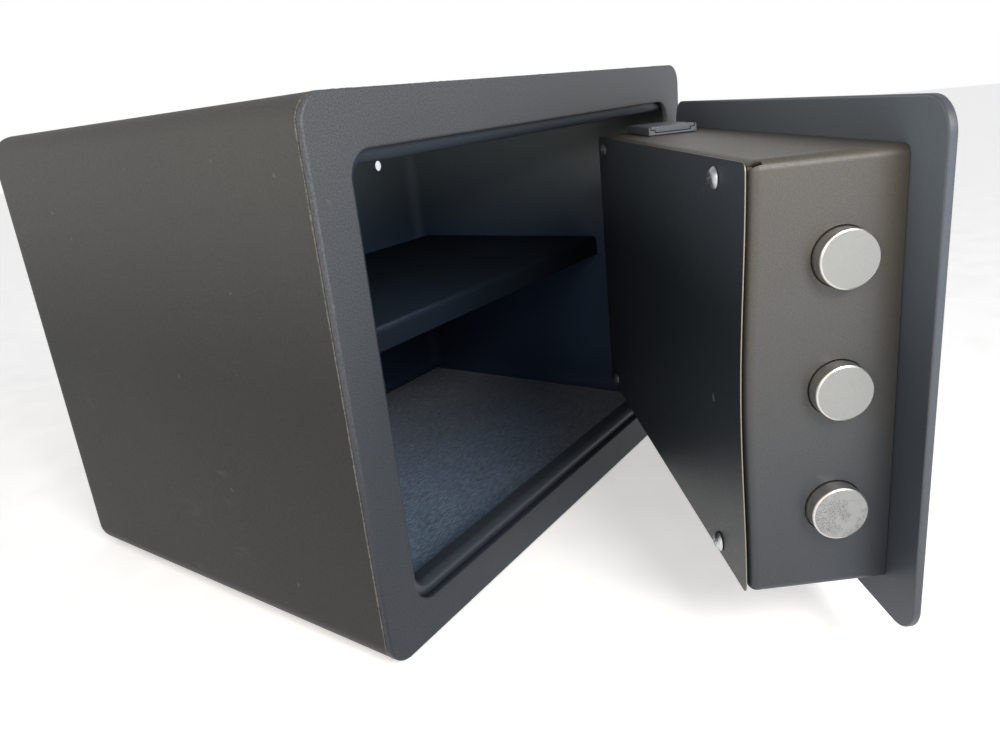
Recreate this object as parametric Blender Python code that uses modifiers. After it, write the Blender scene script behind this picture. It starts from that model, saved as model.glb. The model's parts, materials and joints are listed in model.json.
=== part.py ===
"""Compact home gun safe: a welded steel body, an inset door on concealed hinges and its lock.

Metres, +Z up. X runs to the right of someone facing the door, Y runs into the body. The origin is
on the underside, in the middle of the body's footprint. The door is modelled closed, round its
hinge axis, and an empty on that axis turns it open to DOOR_REST_ANGLE.
"""

import math

import bmesh
import bpy
from mathutils import Matrix, Vector

# ---------------------------------------------------------------- driving dimensions
BODY_WIDTH = 0.350
BODY_HEIGHT = 0.250
BODY_DEPTH = 0.256
BODY_CORNER_RADIUS = 0.0125
SHELL_WALL = 0.002
BACK_THICKNESS = 0.002
BACK_BEND = 0.011
BACK_LIP = 0.001
FRAME_THICKNESS = 0.0035
STILE_WIDTH = 0.0215
TOP_RAIL = 0.023
BOTTOM_RAIL = 0.021
OPENING_RADIUS = 0.012
FIT_GAP = 0.0003

DOOR_GAP = 0.002
DOOR_END_GAP = 0.001
DOOR_THICKNESS = 0.0033
DOOR_REST_ANGLE = math.radians(38.0)
HINGE_INSET = 0.009
HINGE_SETBACK = 0.0085

CASE_FREE_INSET = 0.020
CASE_HINGE_INSET = 0.0175
CASE_TOP_INSET = 0.0158
CASE_BOTTOM_INSET = 0.0148
CASE_DEPTH = 0.0555
CASE_WALL = 0.0015
CASE_BEND = 0.004
CASE_FLANGE = 0.014
COVER_THICKNESS = 0.0012
COVER_INSET = 0.0004

BOLT_DIAMETER = 0.022
BOLT_LENGTH = 0.045
BOLT_PITCH = 0.050
BOLT_SETBACK = 0.026
BOLT_SHOW = 0.0065
BOLT_TRAVEL = 0.024
BOLT_CLEARANCE = 0.0004

STOP_SHEET = 0.0015
STOP_LIP = 0.006
STOP_OVERLAP = 0.010
STOP_BEND = 0.004
STOP_DEPTH = 0.010

SHELF_HEIGHT = 0.130
SHELF_SHEET = 0.0015
SHELF_FLANGE = 0.014
SHELF_SETBACK = 0.070
MAT_THICKNESS = 0.003
ANCHOR_HOLE = 0.009
ANCHOR_SPREAD = 0.133
ANCHOR_HEIGHT = 0.198
BACK_STEPS = 5

KNOB_X = -0.055
KNOB_DIAMETER = 0.044
KNOB_HEIGHT = 0.024
SPINDLE_DIAMETER = 0.008
CRANK_RADIUS = BOLT_TRAVEL / math.sqrt(2)
CAM_DIAMETER = 0.044
CAM_THICKNESS = 0.004
CAM_SETBACK = 0.028
CRANK_PIN_DIAMETER = 0.005
CRANK_SLOT_PLAY = 0.0008

KEYPAD_X = 0.050
KEYPAD_WIDTH = 0.078
KEYPAD_HEIGHT = 0.104
KEYPAD_DEPTH = 0.012
BUTTON_WIDTH = 0.056
BUTTON_HEIGHT = 0.0125
BUTTON_PITCH = 0.0165
BUTTON_COUNT = 4
BUTTON_TRAVEL = 0.0015
SENSOR_WIDTH = 0.018
SENSOR_HEIGHT = 0.016

KEY_DROP = 0.052
BARREL_DIAMETER = 0.018
PLUG_DIAMETER = 0.012
BARREL_LENGTH = 0.024

LIGHT_LENGTH = 0.055
LIGHT_WIDTH = 0.028
LIGHT_HEIGHT = 0.0045
LIGHT_INSET = 0.0154
LIGHT_SETBACK = 0.0126

# ---------------------------------------------------------------- places worked out from them
FRONT = -BODY_DEPTH / 2
OPENING_HALF = BODY_WIDTH / 2 - STILE_WIDTH
OPENING_LOW = BOTTOM_RAIL
OPENING_HIGH = BODY_HEIGHT - TOP_RAIL
DOOR_HALF = OPENING_HALF - DOOR_GAP
DOOR_LOW = OPENING_LOW + DOOR_END_GAP
DOOR_HIGH = OPENING_HIGH - DOOR_END_GAP
DOOR_BACK = FRONT + DOOR_THICKNESS
HINGE_X = BODY_WIDTH / 2 - HINGE_INSET
HINGE_Y = FRONT + HINGE_SETBACK
CASE_LEFT = -DOOR_HALF + CASE_FREE_INSET
CASE_RIGHT = DOOR_HALF - CASE_HINGE_INSET
CASE_LOW = DOOR_LOW + CASE_BOTTOM_INSET
CASE_HIGH = DOOR_HIGH - CASE_TOP_INSET
CASE_FRONT = DOOR_BACK + FIT_GAP
CASE_BACK = CASE_FRONT + CASE_DEPTH
CASE_MIDDLE = (CASE_LOW + CASE_HIGH) / 2
COVER_BACK = CASE_BACK + FIT_GAP + COVER_THICKNESS
BOLT_Y = FRONT + BOLT_SETBACK
BOLT_TIP = CASE_LEFT - BOLT_SHOW
BOLT_END = BOLT_TIP + BOLT_LENGTH
INNER_HALF = BODY_WIDTH / 2 - SHELL_WALL
SHELL_FRONT = FRONT + FRAME_THICKNESS + FIT_GAP
BACK_RIM = BODY_DEPTH / 2 - BACK_BEND - BACK_LIP
SHELL_BACK = BACK_RIM - FIT_GAP
CAM_Y = FRONT + CAM_SETBACK
BAR_Y = CAM_Y + CAM_THICKNESS + 0.005
BAR_THICKNESS = 0.003
BAR_X = BOLT_END + FIT_GAP
KNOB_Z = CASE_MIDDLE
KEY_Z = KNOB_Z - KEY_DROP
KEYPAD_BACK = FRONT - FIT_GAP


# ---------------------------------------------------------------- collections, materials, placing
def clear_scene():
    for leftover in list(bpy.data.objects):
        bpy.data.objects.remove(leftover, do_unlink=True)


def new_collection(name):
    made = bpy.data.collections.new(name)
    bpy.context.scene.collection.children.link(made)
    return made


def new_material(name, colour, roughness, metallic):
    material = bpy.data.materials.new(name)
    material.use_nodes = True
    shader = material.node_tree.nodes["Principled BSDF"]
    shader.inputs["Base Color"].default_value = (*colour, 1.0)
    shader.inputs["Roughness"].default_value = roughness
    shader.inputs["Metallic"].default_value = metallic
    return material


clear_scene()
SAFE = new_collection("gun_safe")
CUTTERS = new_collection("cutters")
CUTTERS.hide_render = True
FINISH = {
    "powder_coat": new_material("powder_coat", (0.024, 0.024, 0.026), 0.55, 0.0),
    "cover_sheet": new_material("cover_sheet", (0.016, 0.018, 0.021), 0.42, 0.0),
    "bright_steel": new_material("bright_steel", (0.72, 0.72, 0.70), 0.28, 1.0),
    "zinc": new_material("zinc", (0.62, 0.64, 0.62), 0.35, 1.0),
    "brass": new_material("brass", (0.70, 0.52, 0.25), 0.32, 1.0),
    "black_plastic": new_material("black_plastic", (0.018, 0.018, 0.020), 0.45, 0.0),
    "rubber": new_material("rubber", (0.03, 0.03, 0.032), 0.75, 0.0),
    "felt": new_material("felt", (0.10, 0.12, 0.15), 0.95, 0.0),
    "light_plastic": new_material("light_plastic", (0.42, 0.45, 0.50), 0.5, 0.0),
    "board": new_material("board", (0.03, 0.16, 0.07), 0.5, 0.0),
    "battery": new_material("battery", (0.16, 0.17, 0.19), 0.35, 0.3),
    "sensor_glass": new_material("sensor_glass", (0.02, 0.02, 0.03), 0.08, 0.0),
    "wire": new_material("wire", (0.05, 0.05, 0.05), 0.5, 0.0),
}
DOOR_PIVOT = bpy.data.objects.new("door_pivot", None)
SAFE.objects.link(DOOR_PIVOT)
DOOR_PIVOT.location = (HINGE_X, HINGE_Y, 0)
DOOR_PIVOT.rotation_euler = (0, 0, DOOR_REST_ANGLE)


def finish(obj, material, on_door):
    """Give the piece its material. A door piece and its cutters hang on the hinge line."""
    obj.data.materials.append(FINISH[material])
    if on_door:
        for item in [obj, *(modifier.object for modifier in obj.modifiers if modifier.type == "BOOLEAN")]:
            item.location -= DOOR_PIVOT.location
            item.parent = DOOR_PIVOT
    return obj


def link_mesh(name, bm, at=(0, 0, 0), cutter=False):
    bmesh.ops.recalc_face_normals(bm, faces=bm.faces)
    mesh = bpy.data.meshes.new(name)
    bm.to_mesh(mesh)
    bm.free()
    obj = bpy.data.objects.new(name, mesh)
    obj.location = at
    (CUTTERS if cutter else SAFE).objects.link(obj)
    if cutter:
        obj.hide_render = True
        obj.display_type = "WIRE"
    return obj


# ---------------------------------------------------------------- basic shapes
def block(name, low, high, cutter=False, origin=None):
    """A box between two corners; its object origin is its middle unless origin is given."""
    low, high = Vector(low), Vector(high)
    at = Vector(origin) if origin else (low + high) / 2
    bm = bmesh.new()
    bmesh.ops.create_cube(bm, size=1.0)
    bmesh.ops.scale(bm, vec=high - low, verts=bm.verts)
    bmesh.ops.translate(bm, vec=(low + high) / 2 - at, verts=bm.verts)
    return link_mesh(name, bm, at, cutter)


AXIS_TURN = {
    "Z": Matrix.Identity(4),
    "Y": Matrix.Rotation(-math.pi / 2, 4, "X"),
    "X": Matrix.Rotation(math.pi / 2, 4, "Y"),
}


def cylinder(name, centre, diameter, length, axis, sides=32, cutter=False):
    bm = bmesh.new()
    bmesh.ops.create_cone(bm, cap_ends=True, segments=sides, depth=length,
                          radius1=diameter / 2, radius2=diameter / 2)
    bmesh.ops.transform(bm, matrix=AXIS_TURN[axis], verts=bm.verts)
    return link_mesh(name, bm, centre, cutter)


def turned(name, at, profile, axis, steps=32):
    """A turned piece. profile lists (radius, height) from the top of the axis down to its foot."""
    mesh = bpy.data.meshes.new(name)
    points = [(radius, 0, height) for radius, height in profile]
    mesh.from_pydata(points, [(i, i + 1) for i in range(len(points) - 1)], [])
    obj = bpy.data.objects.new(name, mesh)
    SAFE.objects.link(obj)
    obj.location = at
    obj.rotation_euler = AXIS_TURN[axis].to_euler()
    screw = obj.modifiers.new("turn", "SCREW")
    screw.steps = steps
    screw.render_steps = steps
    screw.use_merge_vertices = True
    screw.merge_threshold = 0.00005
    screw.use_smooth_shade = False
    return obj


def rounded_outline(low_x, high_x, low_z, high_z, radius, segments=6):
    """Corner points of a rounded rectangle, anticlockwise."""
    outline = []
    corners = (
        (high_x - radius, high_z - radius, 0),
        (low_x + radius, high_z - radius, 90),
        (low_x + radius, low_z + radius, 180),
        (high_x - radius, low_z + radius, 270),
    )
    for centre_x, centre_z, start in corners:
        for step in range(segments + 1):
            angle = math.radians(start + 90 * step / segments)
            outline.append((centre_x + radius * math.cos(angle), centre_z + radius * math.sin(angle)))
    return outline


def upright_plate(name, outline, front, back, cutter=False):
    """A flat plate that stands in the XZ plane, between the depths front and back."""
    middle = sum(x for x, _ in outline) / len(outline), sum(z for _, z in outline) / len(outline)
    bm = bmesh.new()
    ring = [bm.verts.new((x - middle[0], front, z - middle[1])) for x, z in outline]
    face = bm.faces.new(ring)
    grown = bmesh.ops.extrude_face_region(bm, geom=[face])
    moved = [item for item in grown["geom"] if isinstance(item, bmesh.types.BMVert)]
    bmesh.ops.translate(bm, vec=(0, back - front, 0), verts=moved)
    return link_mesh(name, bm, (middle[0], 0, middle[1]), cutter)


def flat_plate(name, outline, low, high, cutter=False):
    """A flat plate that lies in the XY plane, between the heights low and high."""
    bm = bmesh.new()
    face = bm.faces.new([bm.verts.new((x, y, low)) for x, y in outline])
    grown = bmesh.ops.extrude_face_region(bm, geom=[face])
    moved = [item for item in grown["geom"] if isinstance(item, bmesh.types.BMVert)]
    bmesh.ops.translate(bm, vec=(0, 0, high - low), verts=moved)
    return link_mesh(name, bm, (0, 0, 0), cutter)


def cut(obj, *cutters, operation="DIFFERENCE"):
    for cutter in cutters:
        step = obj.modifiers.new(operation.lower() + "_" + cutter.name, "BOOLEAN")
        step.operation = operation
        step.object = cutter
        step.solver = "EXACT"
    return obj


def soften(obj, width, segments=2, angle=40):
    bevel = obj.modifiers.new("rounded_edges", "BEVEL")
    bevel.width = width
    bevel.segments = segments
    bevel.limit_method = "ANGLE"
    bevel.angle_limit = math.radians(angle)
    return obj


def thicken(obj, wall):
    """Wall thickness, laid on the side of an open surface that its normals point away from."""
    solid = obj.modifiers.new("wall", "SOLIDIFY")
    solid.thickness = wall
    solid.offset = -1
    solid.use_even_offset = True
    return obj


def bored(name, centre, diameter, length, axis, sides=32):
    """A cutter for a round hole, long enough to pass both faces."""
    return cylinder(name, centre, diameter, length, axis, sides, cutter=True)


# ---------------------------------------------------------------- the body
def build_body():
    outline = rounded_outline(-BODY_WIDTH / 2, BODY_WIDTH / 2, 0, BODY_HEIGHT, BODY_CORNER_RADIUS)
    bm = bmesh.new()
    ring = [bm.verts.new((x, SHELL_FRONT, z)) for x, z in reversed(outline)]
    edges = [bm.edges.new((ring[i - 1], ring[i])) for i in range(len(ring))]
    grown = bmesh.ops.extrude_edge_only(bm, edges=edges)
    moved = [item for item in grown["geom"] if isinstance(item, bmesh.types.BMVert)]
    bmesh.ops.translate(bm, vec=(0, SHELL_BACK - SHELL_FRONT, 0), verts=moved)
    shell = thicken(link_mesh("body_shell", bm), SHELL_WALL)
    for side in (-1, 1):
        hole = (side * ANCHOR_SPREAD * 0.75, 0, 0)
        cut(shell, bored(f"floor_anchor_{side}", hole, ANCHOR_HOLE, 0.02, "Z", 16))
    finish(shell, "powder_coat", False)

    # The back is pressed into a shallow pan: a short lip, the bend, and the flat.
    stations = [(0, BACK_RIM)]
    for step in range(BACK_STEPS + 1):
        angle = math.radians(90 * step / BACK_STEPS)
        stations.append((BACK_BEND * (1 - math.cos(angle)),
                         BACK_RIM + BACK_LIP + BACK_BEND * math.sin(angle)))
    bm = bmesh.new()
    rows = []
    for inset, y in stations:
        path = rounded_outline(-BODY_WIDTH / 2 + inset, BODY_WIDTH / 2 - inset, inset,
                               BODY_HEIGHT - inset, BODY_CORNER_RADIUS - inset)
        rows.append([bm.verts.new((x, y, z)) for x, z in path])
    for near, far in zip(rows, rows[1:]):
        for i in range(len(near)):
            bm.faces.new((near[i - 1], near[i], far[i], far[i - 1]))
    bm.faces.new(rows[-1])
    back = link_mesh("back_panel", bm)
    if max(back.data.polygons, key=lambda face: face.area).normal.y < 0:
        back.data.flip_normals()
    thicken(back, BACK_THICKNESS)
    for side in (-1, 1):
        hole = (side * ANCHOR_SPREAD, BODY_DEPTH / 2, ANCHOR_HEIGHT)
        cut(back, bored(f"wall_anchor_{side}", hole, ANCHOR_HOLE, 0.02, "Y", 16))
    finish(back, "powder_coat", False)

    frame = upright_plate("front_frame", outline, FRONT, FRONT + FRAME_THICKNESS)
    opening = rounded_outline(-OPENING_HALF, OPENING_HALF, OPENING_LOW, OPENING_HIGH, OPENING_RADIUS)
    cut(frame, upright_plate("opening_cut", opening, FRONT - 0.01, FRONT + 0.02, cutter=True))
    finish(frame, "powder_coat", False)


def build_door_stop():
    """Folded sheet behind the top rail, free stile and bottom rail: the door closes against it."""
    face = FRONT + FRAME_THICKNESS + FIT_GAP
    right = OPENING_HALF - 0.001
    paths = []
    for reach, depth in ((STOP_OVERLAP, 0), (-STOP_LIP, 0), (-STOP_LIP, STOP_DEPTH)):
        left = -OPENING_HALF - reach
        low = OPENING_LOW - reach
        high = OPENING_HIGH + reach
        paths.append([(right, face + depth, low), (left, face + depth, low),
                      (left, face + depth, high), (right, face + depth, high)])
    bm = bmesh.new()
    rows = [[bm.verts.new(point) for point in path] for path in paths]
    for near, far in zip(rows, rows[1:]):
        for i in range(3):
            bm.faces.new((near[i], near[i + 1], far[i + 1], far[i]))
    stop = link_mesh("door_stop_frame", bm)
    for polygon in stop.data.polygons:
        polygon.flip()
    if stop.data.polygons[0].normal.y > 0:
        stop.data.flip_normals()
    soften(stop, STOP_BEND, 3)
    finish(thicken(stop, STOP_SHEET), "powder_coat", False)


def build_inside():
    edge = INNER_HALF - FIT_GAP
    front = FRONT + SHELF_SETBACK
    back = SHELL_BACK - FIT_GAP
    bm = bmesh.new()
    section = ((front, SHELF_HEIGHT - SHELF_FLANGE), (front, SHELF_HEIGHT), (back, SHELF_HEIGHT))
    rows = [[bm.verts.new((x, y, z)) for x in (-edge, edge)] for y, z in section]
    for near, far in zip(rows, rows[1:]):
        bm.faces.new((near[0], near[1], far[1], far[0]))
    shelf = link_mesh("shelf", bm)
    if shelf.data.polygons[1].normal.z < 0:
        shelf.data.flip_normals()
    soften(shelf, 0.003, 3)
    finish(thicken(shelf, SHELF_SHEET), "powder_coat", False)

    under = SHELF_HEIGHT - SHELF_SHEET - FIT_GAP
    for side, label in ((-1, "left"), (1, "right")):
        bm = bmesh.new()
        start = front + 0.012
        section = ((side * (INNER_HALF - FIT_GAP), under - 0.014),
                   (side * (INNER_HALF - FIT_GAP), under), (side * (INNER_HALF - 0.014), under))
        rows = [[bm.verts.new((x, y, z)) for y in (start, back - 0.010)] for x, z in section]
        for near, far in zip(rows, rows[1:]):
            bm.faces.new((near[0], near[1], far[1], far[0]))
        rail = link_mesh(f"shelf_rail_{label}", bm)
        if rail.data.polygons[1].normal.z < 0:
            rail.data.flip_normals()
        finish(thicken(rail, SHELF_SHEET), "powder_coat", False)

    floor = SHELL_WALL + FIT_GAP
    corner = BODY_CORNER_RADIUS
    low = (-BODY_WIDTH / 2 + corner, FRONT + 0.017, floor)
    high = (BODY_WIDTH / 2 - corner, SHELL_BACK - FIT_GAP, floor + MAT_THICKNESS)
    finish(block("floor_mat", low, high), "felt", False)


# ---------------------------------------------------------------- the hinges
PIN_DIAMETER = 0.005
EYE_DIAMETER = 0.0088
ARM_HEIGHT = 0.012
ARM_THICKNESS = 0.004
ARM_REACH = 0.0175
EAR_THICKNESS = 0.0025
EAR_GAP = 0.0008
HINGE_SPREAD = 0.062


def build_hinge(label, middle):
    arm_low, arm_high = middle - ARM_HEIGHT / 2, middle + ARM_HEIGHT / 2
    half = ARM_THICKNESS / 2
    pad_front, pad_back = BOLT_Y - 0.010, HINGE_Y + ARM_REACH + half
    pad_face = CASE_RIGHT + FIT_GAP
    outline = [
        (HINGE_X + half, HINGE_Y), (HINGE_X + half, pad_back - 0.0015), (HINGE_X + half - 0.0015, pad_back),
        (pad_face, pad_back), (pad_face, pad_front), (pad_face + 0.003, pad_front),
        (pad_face + 0.003, pad_back - ARM_THICKNESS), (HINGE_X - half, pad_back - ARM_THICKNESS),
        (HINGE_X - half, HINGE_Y),
    ]
    arm = flat_plate(f"hinge_arm_{label}", outline, arm_low, arm_high)
    eye = cylinder(f"eye_{label}", (HINGE_X, HINGE_Y, middle), EYE_DIAMETER, ARM_HEIGHT, "Z", 24, True)
    cut(arm, eye, operation="UNION")
    cut(arm, bored(f"eye_bore_{label}", (HINGE_X, HINGE_Y, middle), PIN_DIAMETER + 0.0002, 0.05, "Z", 24))
    finish(arm, "powder_coat", True)

    ears = []
    bracket_front = FRONT + FRAME_THICKNESS + FIT_GAP
    bracket_right = INNER_HALF - FIT_GAP
    reach = HINGE_Y + 0.006
    gap = ARM_HEIGHT / 2 + EAR_GAP
    low, high = middle - gap - EAR_THICKNESS, middle + gap + EAR_THICKNESS
    bracket = block(f"hinge_bracket_{label}", (HINGE_X + 0.0052, bracket_front, low),
                    (bracket_right, reach + 0.006, high))
    for side in (-1, 1):
        near = middle + side * gap
        far = near + side * EAR_THICKNESS
        ear = block(f"ear_{label}_{side}", (HINGE_X - 0.0055, bracket_front, min(near, far)),
                    (bracket_right - 0.0005, reach, max(near, far)), cutter=True)
        ears.append(ear)
    cut(bracket, *ears, operation="UNION")
    hole = bored(f"ear_bore_{label}", (HINGE_X, HINGE_Y, middle), PIN_DIAMETER + 0.0002, 0.05, "Z", 24)
    finish(cut(bracket, hole), "powder_coat", False)

    radius = PIN_DIAMETER / 2
    top = gap + EAR_THICKNESS + FIT_GAP + 0.0015
    profile = [(0, top), (radius + 0.0012, top), (radius + 0.0012, top - 0.0015), (radius, top - 0.0015),
               (radius, -top - 0.002), (0, -top - 0.002)]
    pin = turned(f"hinge_pin_{label}", (HINGE_X, HINGE_Y, middle), profile, "Z", 24)
    finish(pin, "bright_steel", False)


# ---------------------------------------------------------------- the door and its lock case
def build_door():
    outline = rounded_outline(-DOOR_HALF, DOOR_HALF, DOOR_LOW, DOOR_HIGH, OPENING_RADIUS + 0.001)
    panel = upright_plate("door_panel", outline, FRONT, DOOR_BACK)
    middle = (FRONT + DOOR_BACK) / 2
    holes = [
        bored("spindle_hole", (KNOB_X, middle, KNOB_Z), SPINDLE_DIAMETER + 0.0046, 0.02, "Y"),
        bored("barrel_hole", (KNOB_X, middle, KEY_Z), BARREL_DIAMETER + 0.0006, 0.02, "Y"),
        bored("cable_hole", (KEYPAD_X, middle, CASE_MIDDLE), 0.010, 0.02, "Y", 16),
    ]
    finish(cut(panel, *holes), "powder_coat", True)

    size = Vector((CASE_RIGHT - CASE_LEFT, CASE_DEPTH, CASE_HIGH - CASE_LOW))
    centre = Vector(((CASE_LEFT + CASE_RIGHT) / 2, CASE_FRONT + CASE_DEPTH / 2, CASE_MIDDLE))
    bm = bmesh.new()
    bmesh.ops.create_cube(bm, size=1.0)
    bmesh.ops.scale(bm, vec=size, verts=bm.verts)
    open_front = [face for face in bm.faces if face.normal.y < -0.5]
    bmesh.ops.delete(bm, geom=open_front, context="FACES_ONLY")
    case = link_mesh("lock_case", bm, centre)
    soften(case, CASE_BEND, 4)
    thicken(case, CASE_WALL)
    window = block("case_window", (CASE_LEFT + CASE_FLANGE, CASE_BACK - 0.01, CASE_LOW + CASE_FLANGE),
                   (CASE_RIGHT - CASE_FLANGE, CASE_BACK + 0.01, CASE_HIGH - CASE_FLANGE), cutter=True)
    cut(case, window)
    for side_x, edge_x in ((-1, CASE_LEFT), (1, CASE_RIGHT)):
        for side_z, edge_z in ((-1, CASE_LOW), (1, CASE_HIGH)):
            low = (edge_x - 0.004, CASE_BACK - 0.0045, edge_z - 0.0008)
            high = (edge_x + 0.004, CASE_BACK + 0.004, edge_z + 0.0008)
            notch = block(f"relief_{side_x}_{side_z}", low, high, cutter=True)
            notch.rotation_euler = (0, -side_x * side_z * math.pi / 4, 0)
            cut(case, notch)
    for i in (-1, 0, 1):
        place = (CASE_LEFT, BOLT_Y, CASE_MIDDLE + i * BOLT_PITCH)
        cut(case, bored(f"bolt_hole_{i}", place, BOLT_DIAMETER + 2 * BOLT_CLEARANCE, 0.02, "X"))

    cover_outline = rounded_outline(CASE_LEFT + COVER_INSET, CASE_RIGHT - COVER_INSET, CASE_LOW + COVER_INSET,
                                    CASE_HIGH - COVER_INSET, 0.0015, 2)
    cover = upright_plate("case_cover", cover_outline, CASE_BACK + FIT_GAP, COVER_BACK)
    places = [(CASE_LEFT + 0.0315, CASE_HIGH - 0.0080), (CASE_LEFT + 0.0315, CASE_LOW + 0.0065),
              (CASE_RIGHT - 0.0215, CASE_HIGH - 0.0080), (CASE_RIGHT - 0.0215, CASE_LOW + 0.0080)]
    for number, (x, z) in enumerate(places, 1):
        for target, label in ((case, "case"), (cover, "cover")):
            hole = bored(f"screw_hole_{label}_{number}", (x, CASE_BACK, z), 0.0036, 0.02, "Y", 12)
            cut(target, hole)
        profile = [(0, 0.0024), (0.0020, 0.0023), (0.0037, 0.0015), (0.0044, 0.0), (0.0015, 0.0),
                   (0.0015, -0.008), (0, -0.008)]
        screw = turned(f"cover_screw_{number}", (x, COVER_BACK + FIT_GAP, z), profile, "Y", 16)
        finish(screw, "zinc", True)
    finish(case, "powder_coat", True)
    finish(cover, "cover_sheet", True)


# ---------------------------------------------------------------- the boltwork
GUIDE_DIAMETER = 0.006
GUIDE_X = -0.012
GUIDE_SPREAD = 0.036


def build_boltwork():
    radius = BOLT_DIAMETER / 2
    chamfer = 0.0016
    half = BOLT_LENGTH / 2
    names = {-1: "bottom", 0: "middle", 1: "top"}
    for i, label in names.items():
        z = CASE_MIDDLE + i * BOLT_PITCH
        profile = [(0, half), (radius, half), (radius, -half + chamfer), (radius - chamfer, -half), (0, -half)]
        bolt = turned(f"locking_bolt_{label}", (BOLT_TIP + half, BOLT_Y, z), profile, "X")
        tapped = bored(f"bolt_tapping_{label}", (BOLT_END, BOLT_Y, z), 0.0064, 0.030, "X", 12)
        finish(cut(bolt, tapped), "bright_steel", True)
        head = BAR_X + BAR_THICKNESS + FIT_GAP
        profile = [(0, 0.005), (0.0045, 0.005), (0.005, 0.0045), (0.005, 0), (0.0029, 0), (0.0029, -0.016), (0, -0.016)]
        finish(turned(f"bolt_screw_{label}", (head, BOLT_Y, z), profile, "X", 16), "zinc", True)

    bar_low, bar_high = CASE_MIDDLE - BOLT_PITCH - 0.014, CASE_MIDDLE + BOLT_PITCH + 0.014
    bar = block("bolt_bar", (BAR_X, BOLT_Y - 0.010, bar_low), (BAR_X + BAR_THICKNESS, BAR_Y + BAR_THICKNESS, bar_high))
    slot_x = KNOB_X + CRANK_RADIUS * math.sin(math.radians(45))
    plate_right = GUIDE_X + GUIDE_DIAMETER
    plate = block("bar_plate", (BAR_X + 0.001, BAR_Y, CASE_MIDDLE - GUIDE_SPREAD - 0.010),
                  (plate_right + BOLT_TRAVEL, BAR_Y + BAR_THICKNESS, CASE_MIDDLE + GUIDE_SPREAD + 0.010), cutter=True)
    cut(bar, plate, operation="UNION")
    slot_half = CRANK_PIN_DIAMETER / 2 + CRANK_SLOT_PLAY
    slot_low = KNOB_Z - CRANK_RADIUS - slot_half
    slot_high = KNOB_Z - CRANK_RADIUS * math.cos(math.radians(45)) + slot_half
    slot = block("crank_slot", (slot_x - slot_half, BAR_Y - 0.005, slot_low),
                 (slot_x + slot_half, BAR_Y + 0.008, slot_high), cutter=True)
    cut(bar, slot)
    for i in (-1, 0, 1):
        place = (BAR_X, BOLT_Y, CASE_MIDDLE + i * BOLT_PITCH)
        cut(bar, bored(f"bar_hole_{i}", place, 0.0064, 0.02, "X", 12))
    for i, label in ((-1, "lower"), (1, "upper")):
        z = CASE_MIDDLE + i * GUIDE_SPREAD
        play = GUIDE_DIAMETER / 2 + 0.0004
        guide_slot = block(f"guide_slot_{label}", (GUIDE_X - play, BAR_Y - 0.005, z - play),
                           (GUIDE_X + BOLT_TRAVEL + play, BAR_Y + 0.008, z + play), cutter=True)
        cut(bar, guide_slot)
        length = CASE_BACK - CASE_WALL - CASE_FRONT - 0.006
        shoulder = BAR_Y - FIT_GAP - CASE_FRONT
        profile = [(0, length), (GUIDE_DIAMETER / 2, length), (GUIDE_DIAMETER / 2, shoulder), (0.005, shoulder),
                   (0.005, 0), (0, 0)]
        post = turned(f"guide_post_{label}", (GUIDE_X, CASE_FRONT, z), profile, "Y", 16)
        finish(post, "zinc", True)
    finish(bar, "zinc", True)


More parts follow.
